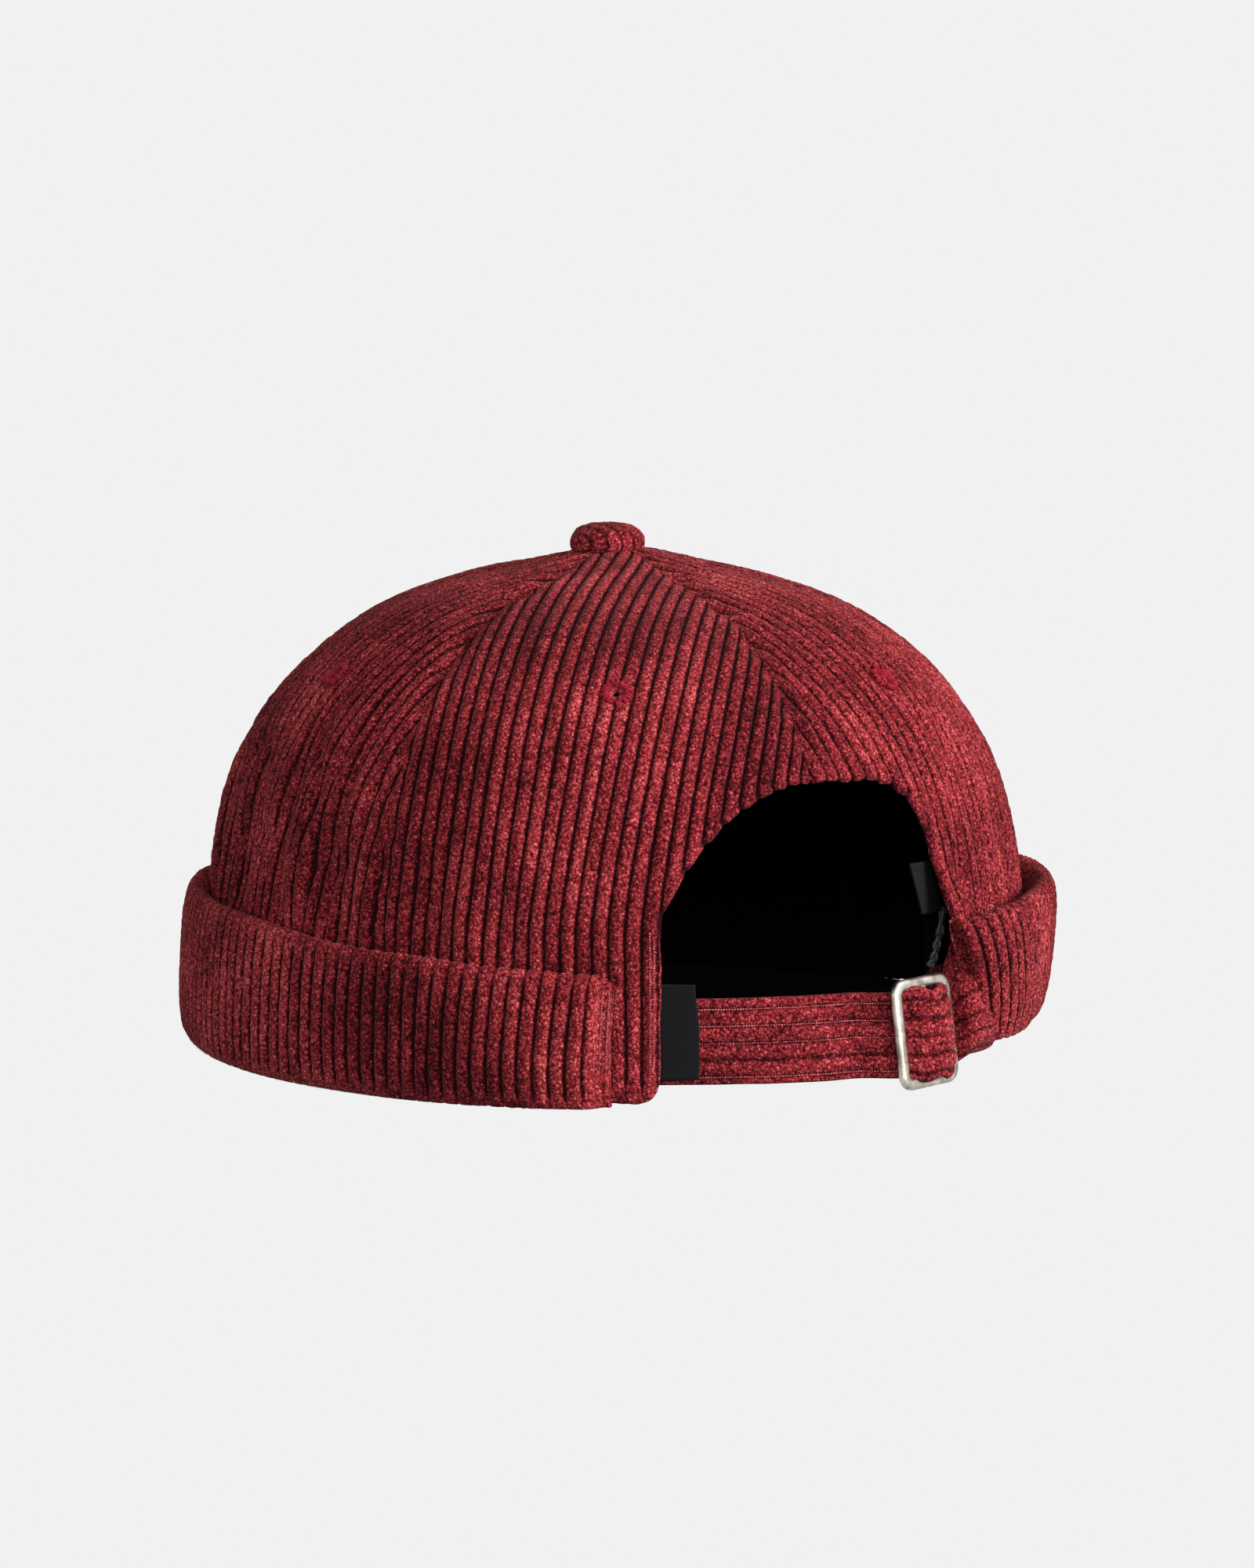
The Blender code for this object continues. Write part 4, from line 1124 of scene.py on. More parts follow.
def cuff_pinch(lines):
    """Share of its thickness that the cuff has near its stitched left end."""
    pinch = CUFF_PINCH + (1 - CUFF_PINCH) * eased(lines, 0.6 * CUFF_HEM, 2 * CUFF_HEM)
    return pinch * np.sqrt(1 - (1 - np.clip(lines / CUFF_EDGE, 0, 1)) ** 2 * 0.96)


def cuff(cloth):
    """The turned-up band: wales that fade where it turns over, a flat hem and a curled end."""
    start, end = CUFF_ROWS[0][0], CUFF_ROWS[-1][0]
    radius = CROWN_RADIUS + CUFF_PROUD
    total = math.radians(end - start) * radius
    lines = [(n + p) * WALE for n in range(int(total / WALE) + 2) for p in CUFF_PHASES]
    lines = [line for line in lines if CUFF_FIRST_LINE < line < total - CUFF_LAST_LINE]
    lines += [*CUFF_HEM_LINES, *(total - line for line in CUFF_END_LINES)]
    lines = np.array(sorted(lines))
    azimuth = start + np.degrees(lines / radius)
    left = np.clip((total - lines) / CUFF_CURL, 0, 1)
    curled = np.sqrt(1 - (1 - left) ** 2.2 * 0.985)
    turns = cuff_turns()
    grid, rise = cuff_base(azimuth, turns, cuff_pinch(lines) * curled)
    steps = np.linalg.norm(np.diff(grid, axis=1), axis=2)
    around = np.concatenate([np.zeros((len(lines), 1)), np.cumsum(steps, axis=1)], axis=1)
    out = unit(np.cross(np.gradient(grid, axis=0), np.roll(grid, -1, axis=1) - np.roll(grid, 1, axis=1)))
    if np.sum(out * (grid - grid.mean(axis=1, keepdims=True))) < 0:
        out = -out
    line = np.broadcast_to(lines[:, None], around.shape)
    ribbed = eased(line, 0.8 * CUFF_HEM, 1.3 * CUFF_HEM)
    turned = np.maximum(eased(rise, *CUFF_TOP_FADE), CUFF_LOW_SHARE * eased(rise, *CUFF_LOW_FADE))
    turned = turned * (1 - CUFF_RIGHT_SHARE * eased(azimuth, *CUFF_RIGHT_AZIMUTHS))[:, None]
    strength = CUFF_WALE_MEAN + CUFF_WALE_CHANGE * grain(line / WALE * 0.7, around / CUFF_WALE_LENGTH, 61)
    strength = strength * (1 - CUFF_FADE * turned) * ribbed
    plain_end = eased(total - line, CUFF_PLAIN_END, 0)
    faint = np.clip(np.maximum.reduce([CUFF_FAINT * turned, 1 - ribbed, plain_end]), 0, 1)
    ribs = WALE_HEIGHT * ((wale(line / WALE) - 1) * strength - CUFF_HEM_LEVEL * (1 - ribbed))
    soft = CUFF_DRAPE * grain(line / DRAPE_SIZE, around / DRAPE_SIZE, 64) * blend(left * 2)[:, None]
    shows = eased(np.cos(turns), *CUFF_SHOWS)
    grid = grid + out * ((ribs + pile(line, around, 62, 63) + soft) * shows)[..., None]
    grid[..., 2] = np.maximum(grid[..., 2], 0.0)
    uvs = np.stack([line / WALE, around / WALE], axis=-1)
    return dress(loop_mesh("rolled_cuff", grid, uvs, cloth, faint), "corduroy", "cuff")


def button(cloth):
    """A cloth-covered dome with bowed wales."""
    side = smooth([(r * BUTTON_RADIUS, h * BUTTON_HEIGHT) for r, h in BUTTON_PROFILE], BUTTON_ROWS)[1:]
    out, up = (unit(np.gradient(side, axis=0)) * (1, -1)).T[::-1, :, None]
    turn = np.linspace(0, 2 * np.pi, BUTTON_SIDES, endpoint=False)
    radius, height = side.T[:, :, None]
    x, y = radius * np.cos(turn), radius * np.sin(turn)
    angle = math.radians(BUTTON_TURN)
    across = x * math.cos(angle) + y * math.sin(angle)
    length = -x * math.sin(angle) + y * math.cos(angle)
    line = np.arcsin(np.clip(across / BUTTON_RADIUS, -1, 1)) * BUTTON_RADIUS
    line = (line + BUTTON_BEND * (length / BUTTON_RADIUS) ** 2) / BUTTON_WALE + 0.5
    rough = grain(turn * 1.6 * BUTTON_RADIUS / PILE_SIZE, run_lengths(side)[:, None] / PILE_SIZE, 71)
    ribs = (BUTTON_RIB * (wale(line) - 0.8) + PILE * rough) * eased(height, *BUTTON_FADE)
    push = radius + ribs * out
    points = np.stack([push * np.cos(turn), push * np.sin(turn), height + ribs * up], axis=-1)
    middle = np.array([AXIS[0] + BUTTON_OFFSET[0], AXIS[1] + BUTTON_OFFSET[1], button_low.z])
    points = np.concatenate([points.reshape(-1, 3), [[0.0, 0.0, BUTTON_HEIGHT]]]) + middle
    uvs = np.stack([line, length / BUTTON_WALE], axis=-1).reshape(-1, 2)
    uvs = np.concatenate([uvs, [[0.5, 0.0]]])
    faces = band_faces(len(side), BUTTON_SIDES)
    del faces[-2]  # its top is a fan round one point, not a cap
    faces += [(len(points) - 1, k, (k + 1) % BUTTON_SIDES) for k in range(BUTTON_SIDES)]
    faint = np.full(len(points), BUTTON_FAINT)
    return dress(add_mesh("top_button", points, faces, uvs, (cloth,), None, faint), "corduroy", "button")


def tube(path, radii, sides):
    """Points and faces of a round thread along a path."""
    path = np.asarray(path, float)
    along = unit(np.gradient(path, axis=0))
    helper = np.where(np.abs(along[:, 2:3]) > 0.9, np.array([[1.0, 0.0, 0.0]]), UPRIGHT)
    first = unit(np.cross(along, helper))
    second = np.cross(along, first)
    turn = 2 * np.pi * np.arange(sides)[:, None] / sides
    ring = first[:, None, :] * np.cos(turn) + second[:, None, :] * np.sin(turn)
    points = path[:, None, :] + ring * np.asarray(radii, float)[:, None, None]
    return points.reshape(-1, 3), band_faces(len(path), sides)


def joined(name, parts, looks, last_look=0):
    """One mesh of many small closed ones, the last of them with a look of its own."""
    points, faces, face_looks = [], [], []
    total = 0
    for number, (part_points, part_faces) in enumerate(parts):
        points.append(part_points)
        faces += [tuple(total + k for k in face) for face in part_faces]
        face_looks += [last_look if number == len(parts) - 1 else 0] * len(part_faces)
        total += len(part_points)
    return add_mesh(name, np.concatenate(points), faces, None, looks, face_looks)


def eyelet(number, thread, inside):
    """An embroidered ring of radial threads that dip into its hole, whose shade is painted by a dark tube.
    """
    middle, normal = eyelet_place(number)
    side = unit(np.cross(normal, UPRIGHT))
    other = np.cross(normal, side)
    noise = np.random.default_rng(80 + number)
    parts = []
    for k in range(EYELET_THREADS):
        turn = 2 * math.pi * (k + noise.uniform(-0.25, 0.25)) / EYELET_THREADS
        ray = side * math.cos(turn) + other * math.sin(turn)
        reach = EYELET_RADIUS * noise.uniform(*EYELET_REACH)
        lift = noise.uniform(*EYELET_LIFT) - EYELET_SUNK
        path, radii = [], []
        for share, level, thick in EYELET_THREAD_ROWS:
            out = EYELET_HOLE + (reach - EYELET_HOLE) * share
            path.append(middle + ray * out + normal * (level + lift))
            radii.append(EYELET_THREAD * thick)
        parts.append(tube(path, radii, 6))
    # painted shade: a dark tube fills the hole, where the cap's shaded inside would show
    hole = np.array([middle - normal * level for level in EYELET_HOLE_LEVELS])
    parts.append(tube(hole, [EYELET_HOLE + EYELET_THREAD] * len(hole), 24))
    piece = joined(f"eyelet_ring_{number + 1}", parts, (thread, inside), 1)
    return dress(piece, "eyelet_thread", f"eyelet_{number + 1}")


def buckle_frame():
    """Origin and axes of the buckle: along the strap to the wearer's right, outwards, and up."""
    radius = strap_seat() + STRAP_THICK + GAP + BUCKLE_THICK / 2
    origin = plan(BUCKLE_AZIMUTH, radius, BUCKLE_MIDDLE)
    x, y, _ = unit(plan(BUCKLE_AZIMUTH - 1, radius) - plan(BUCKLE_AZIMUTH + 1, radius))
    turn, lean = math.radians(BUCKLE_TURN), math.radians(STRAP_LEAN)
    along = np.array([x * math.cos(turn) - y * math.sin(turn), x * math.sin(turn) + y * math.cos(turn), 0.0])
    level = np.cross(along, UPRIGHT)
    up = UPRIGHT * math.cos(lean) - level * math.sin(lean)
    out = level * math.cos(lean) + UPRIGHT * math.sin(lean)
    return origin, along, out, up


ORIGIN, ALONG, OUT, UP = buckle_frame()
LEVEL_OUT = unit(OUT * (1, 1, 0))


def in_buckle_frame(azimuth, radius):
    """A place in plan as lengths along the buckle and level out from it."""
    offset = plan(azimuth, radius, ORIGIN[2]) - ORIGIN
    return float(offset @ ALONG), float(offset @ LEVEL_OUT)


def bar(path, closed):
    """Points and faces of a metal bar with soft edges along a path in the buckle's plane."""
    turn = 2 * np.pi * (np.arange(BUCKLE_BAR_SIDES)[:, None] + 0.5) / BUCKLE_BAR_SIDES
    x, z = rounded_square(turn, BUCKLE_SQUARENESS)
    path = np.array(path, float)
    step = np.roll(path, -1, axis=0) - np.roll(path, 1, axis=0) if closed else np.gradient(path, axis=0)
    run = unit(step)
    across = np.stack([run[:, 1], -run[:, 0]], axis=1)
    flat = path[:, None, :] + across[:, None, :] * x * BUCKLE_FACE / 2
    points = ORIGIN + flat[..., 0:1] * ALONG + flat[..., 1:2] * UP + z * BUCKLE_THICK / 2 * OUT
    return points.reshape(-1, 3), band_faces(len(path), BUCKLE_BAR_SIDES, closed)


def buckle(metal):
    half_x = (BUCKLE_WIDTH - BUCKLE_FACE) / 2
    half_z = (BUCKLE_HEIGHT - BUCKLE_FACE) / 2
    path = []
    for turn_x, turn_z, first in ((1, 1, 0), (-1, 1, 90), (-1, -1, 180), (1, -1, 270)):
        for k in range(BUCKLE_CORNER_STEPS + 1):
            turn = math.radians(first + 90 * k / BUCKLE_CORNER_STEPS)
            x = turn_x * (half_x - BUCKLE_CORNER) + BUCKLE_CORNER * math.cos(turn)
            z = turn_z * (half_z - BUCKLE_CORNER) + BUCKLE_CORNER * math.sin(turn)
            path.append((x, z))
    middle = [(0.0, z) for z in np.linspace(-half_z, half_z, 12)]
    piece = joined("strap_buckle", [bar(path, True), bar(middle, False)], (metal,))
    return dress(piece, "buckle_metal", "buckle")


def ribbon_frame(rows):
    """Middle line, upward and outward directions of a band whose rows are in the buckle's frame."""
    runs = np.gradient(rows[:, :2], axis=0)
    turn = math.radians(STRAP_LEAN) * rows[:, 3:4]
    upward = UPRIGHT * np.cos(turn) - LEVEL_OUT * np.sin(turn)
    outward = unit(np.cross(ALONG * runs[:, 0:1] + LEVEL_OUT * runs[:, 1:2], upward))
    middle = ORIGIN + ALONG * rows[:, 0:1] + LEVEL_OUT * rows[:, 1:2] + UPRIGHT * rows[:, 2:3]
    return middle, upward, outward


def strap_radius(azimuth):
    """Radius of the strap's middle: inside the arch's left edge, and outside the crown at the buckle."""
    inside = CROWN_RADIUS - CLOTH - 4 * GAP - LABEL_THICK - STRAP_THICK / 2
    outside = strap_seat() - STRAP_THICK / 2
    return inside + (outside - inside) * eased(azimuth, ARCH_LEFT, BUCKLE_AZIMUTH)


def strap_rows():
    """The strap's route: along, level out, rise and share of the lean, in the buckle's frame."""
    half = (BUCKLE_WIDTH - BUCKLE_BAR) / 2
    under = BUCKLE_THICK / 2 + GAP + STRAP_THICK / 2
    over = BUCKLE_THICK / 2 + TAB_THICK + 3 * GAP + STRAP_THICK / 2
    sewn = ARCH_LEFT + degrees_of(STRAP_SEWN)
    buckle_edge = BUCKLE_AZIMUTH + degrees_of(STRAP_DIP * BUCKLE_WIDTH)
    rows = []
    for k in range(STRAP_APPROACH):
        share = k / (STRAP_APPROACH - 1)
        azimuth = sewn + (buckle_edge - sewn) * share
        rows.append((*in_buckle_frame(azimuth, strap_radius(azimuth)), 0.0, share))
    for along, below, above in STRAP_THREADING:
        rows.append((along * half, above * over - below * under, 0.0, 1.0))
    cuff_end = CUFF_ROWS[-1][0] - 360
    seat = strap_seat() + STRAP_THICK / 2 + GAP
    for share in (0.0, 0.5, 1.0):
        azimuth = cuff_end - degrees_of(STRAP_TUCK) * share
        rows.append((*in_buckle_frame(azimuth, seat), STRAP_END_RISE, 1.0))
    return smooth(rows, STRAP_STATIONS)


def strap_section():
    """Places across the strap, from its upper edge over the face and back, and which side they are on."""
    half = STRAP_WIDTH / 2
    even = np.linspace(-1, 1, STRAP_FACE_POINTS)
    face = (0.35 * np.sin(even * np.pi / 2) + 0.65 * even) * half
    back = np.linspace(half, -half, STRAP_BACK_POINTS + 2)[1:-1]
    return -np.concatenate([face, back]), np.repeat([1.0, -1.0], [len(face), len(back)])


def strap_grid(place, side):
    """Points of the strap at these places across it, with their place along, run, phase and outward."""
    rows = strap_rows()
    middle, upward, outward = ribbon_frame(rows)
    half = STRAP_WIDTH / 2
    near_edge = np.clip((np.abs(place) - (half - STRAP_EDGE)) / STRAP_EDGE, 0, 1)
    full = np.sqrt(1 - near_edge**2 * 0.98)
    along = rows[:, 0][:, None]
    reach = (BUCKLE_WIDTH - BUCKLE_BAR) / 2
    share = along / reach
    inside = eased(share, *STRAP_COMES_IN) * eased(share, *STRAP_GOES_OUT)
    ebb = eased(share, *STRAP_EBB)
    tail = blend((along - STRAP_GOES_OUT[0] * reach) / STRAP_TAIL)
    root = np.exp(-((along / STRAP_NOTCH) ** 2))
    phase = (half - place - STRAP_FIRST_VALLEY) / STRAP_WALE + 0.5
    run = run_lengths(rows)[:, None]
    ribs = STRAP_WALE_HEIGHT * (wale(phase) - 1) * (1 - STRAP_TAIL_FAINT * tail)
    u, v = run / PILE_SIZE, place / PILE_SIZE
    share_fine, fine_across, fine_along = PILE_FINE
    rough = grain(u, v * PILE_ACROSS + 60, 91) + share_fine * grain(u * fine_along, v * fine_across + 60, 92)
    crown = 1 - (place / half) ** 4
    swell = (STRAP_SWELL * inside * (1 - STRAP_SWELL_EBB * ebb) + STRAP_LUMP * tail) * crown
    fold = STRAP_FOLD * tail * np.exp(-(((place - STRAP_FOLD_PLACE) / STRAP_FOLD_SIZE) ** 2))
    outer = STRAP_THICK / 2 + ribs + PILE * rough + swell - fold
    depth = np.where(side > 0, outer, -STRAP_THICK / 2) * full
    wider = 1 + inside * (STRAP_WIDER * (1 - STRAP_WIDER_EBB * ebb) - STRAP_NOTCH_DEPTH * root)
    wider = wider + STRAP_TAIL_WIDER * tail + 0.006 * grain(run / 0.006, np.full(len(place), 3.0), 93)
    across = place * wider + STRAP_TAIL_RISE * tail * blend(place / half)
    grid = middle[:, None, :] + upward[:, None, :] * across[..., None]
    grid = grid + outward[:, None, :] * depth[..., None]
    return grid, along[:, 0], run[:, 0], phase, outward


def strap(cloth):
    """The cloth strap, threaded through the buckle and bunched behind it."""
    grid, _, run, phase, _ = strap_grid(*strap_section())
    faint = np.full(grid.shape[:2], STRAP_FAINT)
    piece = loop_mesh("cloth_strap", grid, grid_map(phase, run / STRAP_WALE), cloth, faint)
    return dress(piece, "corduroy", "back_strap")


def dotted(path, normals):
    """Short stitches along a path, as closed threads that lie on it."""
    run = run_lengths(path, 3)
    parts = []
    for k in range(int(run[-1] / STITCH_PITCH)):
        at = (k + 0.5) * STITCH_PITCH + STITCH_LENGTH * np.array([-0.5, -0.25, 0.25, 0.5])
        points, raised = (
            np.stack([np.interp(at, run, column) for column in values.T], axis=1)
            for values in (path, normals)
        )
        points = points + raised * np.array([-0.3, 0.35, 0.35, -0.3])[:, None] * STITCH_WIDTH
        parts.append(tube(points, np.array([0.3, 0.5, 0.5, 0.3]) * STITCH_WIDTH, 6))
    return parts


def strap_stitches(thread):
    """Rows of stitches in the strap's valleys, from the label to the buckle."""
    place = np.array([STRAP_WIDTH / 2 - STRAP_FIRST_VALLEY - k * STRAP_WALE for k in STITCHED_VALLEYS])
    grid, along, _, _, outward = strap_grid(place, np.ones(len(place)))
    label_edge = in_buckle_frame(ARCH_LEFT - degrees_of(LABEL_WIDTH), CROWN_RADIUS)[0]
    shows = (along > label_edge) & (along < -0.4 * BUCKLE_WIDTH)
    parts = []
    for k in range(len(place)):
        parts += dotted(grid[shows, k], outward[shows])
    return dress(joined("strap_stitches", parts, (thread,)), "corduroy")


def crown_stitches(thread):
    """Rows of stitches along the arch's left edge."""
    shape = PanelPlan(0)
    parts = []
    for azimuth, low, high in CROWN_STITCH_ROWS:
        run = np.linspace(run_at(high), run_at(low), 90)
        line = np.radians(azimuth - shape.middle) * side_at(run, "widest") - shape.shift(run)
        base, ribs = panel_depth(shape, 0, line, run, np.full(len(run), azimuth))
        parts += dotted(on_crown(azimuth, run, base + ribs), crown_normal(azimuth, run))
    return dress(joined("crown_stitches", parts, (thread,)), "corduroy")


def level_out(points):
    """Level directions from the cap's middle to these points."""
    return unit((points - np.array([*AXIS, 0.0])) * (1, 1, 0))


def cuff_stitches(thread):
    """Rows of stitches on the flat strip at the cuff's left end."""
    turns = np.radians(np.linspace(-80, 80, 161))
    parts = []
    for line in CUFF_STITCH_ROWS:
        lines = np.array([line])
        azimuth = CUFF_ROWS[0][0] + np.degrees(lines / (CROWN_RADIUS + CUFF_PROUD))
        grid, rise = cuff_base(azimuth, turns, cuff_pinch(lines))
        path = grid[0][(rise[0] > CUFF_STITCH_SHARES[0]) & (rise[0] < CUFF_STITCH_SHARES[1])]
        out = level_out(path)
        parts += dotted(path - out * CUFF_HEM_LEVEL * WALE_HEIGHT, out)
    return dress(joined("cuff_stitches", parts, (thread,)), "corduroy")


def tab(cloth):
    """A thin cloth folded round the buckle's bar and sewn in behind the arch's right edge."""
    outer, inner = [], []
    for along, out, apart in TAB_ROWS:
        lean = 1 - along / TAB_ROWS[-1][0] / 2
        outer.append((along * BUCKLE_WIDTH, out * BUCKLE_THICK, 0.0, lean))
        inner.append((along * BUCKLE_WIDTH, (out - apart) * BUCKLE_THICK, 0.0, lean))
    radius = CROWN_RADIUS - CLOTH - 1.5 * GAP - TAB_THICK / 2
    for share in TAB_SEWN_ROWS:
        azimuth = ARCH_RIGHT - degrees_of(TAB_SEWN) * share
        outer.append((*in_buckle_frame(azimuth, radius), STRAP_END_RISE, 0.0))
        inner.append((*in_buckle_frame(azimuth, radius - TAB_THICK - GAP), STRAP_END_RISE, 0.0))
    fold = (-(BUCKLE_BAR + TAB_THICK) / 2 - 2 * GAP, 0.0, 0.0, 1.0)
    rows = smooth(outer[::-1] + [fold] + inner, TAB_STATIONS)
    middle, upward, outward = ribbon_frame(rows)
    half = TAB_WIDTH / 2
    face = np.linspace(half, -half, TAB_POINTS)
    place = np.concatenate([face, face[::-1][1:-1]])
    side = np.repeat([1.0, -1.0], [TAB_POINTS, TAB_POINTS - 2])
    full = np.sqrt(1 - np.clip((np.abs(place) - 0.9 * half) / (0.1 * half), 0, 1) ** 2 * 0.9)
    depth = side * full * TAB_THICK / 2
    grid = middle[:, None, :] + upward[:, None, :] * place[:, None] + outward[:, None, :] * depth[:, None]
    piece = loop_mesh("buckle_loop", grid, grid_map(place / WALE, run_lengths(rows) / WALE), cloth)
    return dress(piece, "tab_cloth", "buckle_tab")


def label(twill):
    """A folded label: two layers that meet in a round fold at its outer edge."""
    first = ARCH_LEFT + degrees_of(LABEL_SEWN)
    levels = np.linspace(0, 1, LABEL_ROWS)
    bow = LABEL_WIDTH * (1 - LABEL_BOW * blend(2 * levels - 1))
    shares = np.linspace(0, 1, LABEL_COLUMNS)
    rows = []
    for level, end in zip(levels, ARCH_LEFT - np.degrees(bow / CROWN_RADIUS)):
        azimuth = first + (end - first) * shares
        radius = strap_radius(azimuth) + STRAP_THICK / 2 + 2 * GAP
        height = LABEL_LOW + LABEL_HEIGHT * level - LABEL_SAG * shares * level
        tip = []
        for turn in np.pi * np.arange(1, LABEL_FOLD) / LABEL_FOLD:
            reach = radius[-1] + LABEL_THICK / 2 * (1 + math.cos(turn))
            tip.append(plan(end - degrees_of(LABEL_THICK / 2 * math.sin(turn)), reach, height[-1]))
        outer, inner = plan(azimuth, radius + LABEL_THICK, height), plan(azimuth, radius, height)
        rows.append(np.concatenate([outer, np.array(tip), inner[::-1]]))
    grid = np.array(rows)
    uvs = grid_map(np.linspace(0, 1, grid.shape[1]), levels)
    return dress(loop_mesh("bare_label", grid, uvs, twill), "label_twill", "label_tab")


def tag(satin):
    """A plain satin tag with a folded upper edge."""
    levels = np.linspace(0, 1, TAG_ROWS)
    shares = np.linspace(0, 1, TAG_COLUMNS)
    rows = []
    for level in levels:
        z = TAG_LOW + TAG_HEIGHT * level
        shows = TAG_WIDTH - TAG_SLANT * (1 - level)
        azimuth = ARCH_RIGHT + np.degrees(((shows + TAG_SEWN) * shares - TAG_SEWN) / CROWN_RADIUS)
        radius = side_at(run_at(z), "radius") - CLOTH - 2 * GAP
        outer = plan(azimuth, radius + TAG_FOLD * (level > 0.9), z)
        rows.append(np.concatenate([outer, plan(azimuth, radius - TAG_THICK, z)[::-1]]))
    grid = np.array(rows)
    uvs = grid_map(np.linspace(0, 1, grid.shape[1]), levels)
    return dress(loop_mesh("satin_tag", grid, uvs, satin), "tag_satin", "inner_label")


def braid(look):
    """A braid of three strands along the arch's right edge, below the tag."""
    rows = smooth(BRAID_ROWS, 90)
    path = plan(rows[:, 0], BRAID_RADIUS, rows[:, 1])
    out = level_out(path)
    across = unit(np.cross(unit(np.gradient(path, axis=0)), out))
    parts = []
    for strand in range(3):
        turn = 2 * np.pi * (run_lengths(path)[:, None] / BRAID_TURN + strand / 3)
        shift = BRAID_SPREAD * (np.sin(turn) * across + 0.5 * np.sin(2 * turn) * out)
        parts.append(tube(path + shift, [BRAID_STRAND] * len(path), 8))
    return dress(joined("band_braid", parts, (look,)), "band_cloth")


def set_inputs(tree, node, **inputs):
    """Sets a node's inputs, named with _ for a space, to values, or links them to sockets."""
    for name, value in inputs.items():
        socket = node.inputs[name.replace("_", " ")]
        if isinstance(value, bpy.types.NodeSocket):
            tree.links.new(value, socket)
        else:
            socket.default_value = value


def add_node(tree, kind, **inputs):
    made = tree.nodes.new("ShaderNode" + kind)
    set_inputs(tree, made, **inputs)
    return made


def maths(tree, operation, first, second=0.0, third=0.0, clamp=False):
    made = tree.nodes.new("ShaderNodeMath")
    made.operation = operation
    made.use_clamp = clamp
    for socket, value in zip(made.inputs, (first, second, third)):
        if isinstance(value, bpy.types.NodeSocket):
            tree.links.new(value, socket)
        else:
            socket.default_value = value
    return made.outputs[0]


def coordinates(tree, kind="Object"):
    return add_node(tree, "TexCoord").outputs[kind]


def noise_texture(tree, vector, scale, detail, roughness):
    made = add_node(tree, "TexNoise", Vector=vector, Scale=scale, Detail=detail, Roughness=roughness)
    return made.outputs["Fac"]


def ease_node(tree, value, start, end, kind="SMOOTHSTEP"):
    """0 at the start and 1 at the end."""
    made = add_node(tree, "MapRange", Value=value, From_Min=start, From_Max=end)
    made.interpolation_type = kind
    return made.outputs["Result"]


def ramp(tree, factor, stops):
    made = add_node(tree, "ValToRGB", Fac=factor)
    elements = made.color_ramp.elements
    while len(elements) < len(stops):
        elements.new(0.5)
    for element, (place, colour) in zip(elements, stops):
        element.position = place
        element.color = (*colour, 1.0)
    return made.outputs["Color"]


def bump(tree, height, distance, strength):
    made = add_node(tree, "Bump", Height=height, Distance=distance, Strength=strength)
    return made.outputs["Normal"]


def cells(tree, place, size, stray):
    """Distance from the middle of each small loop of pile and a random value for it."""
    wobble = add_node(tree, "TexNoise", Vector=place, Scale=0.45 / size, Detail=1.0)
    moved = add_node(tree, "VectorMath")
    moved.operation = "MULTIPLY_ADD"
    tree.links.new(wobble.outputs["Color"], moved.inputs[0])
    moved.inputs[1].default_value = (stray * size,) * 3
    tree.links.new(place, moved.inputs[2])
    loops = add_node(tree, "TexVoronoi", Vector=moved.outputs[0], Scale=1.0 / size)
    split = add_node(tree, "SeparateColor", Color=loops.outputs["Color"])
    return loops.outputs["Distance"], split.outputs[0]


def start_look(name):
    made = bpy.data.materials.new(name)
    made.use_nodes = True
    return made, made.node_tree


def finish_look(made, factor, stops, relief=None, **inputs):
    """Gives a material its colour, by stops along a factor, a fine relief and its other inputs."""
    tree = made.node_tree
    inputs["Base_Color"] = ramp(tree, factor, stops)
    if relief:
        inputs["Normal"] = bump(tree, *relief)
    set_inputs(tree, tree.nodes["Principled BSDF"], **inputs)
    return made


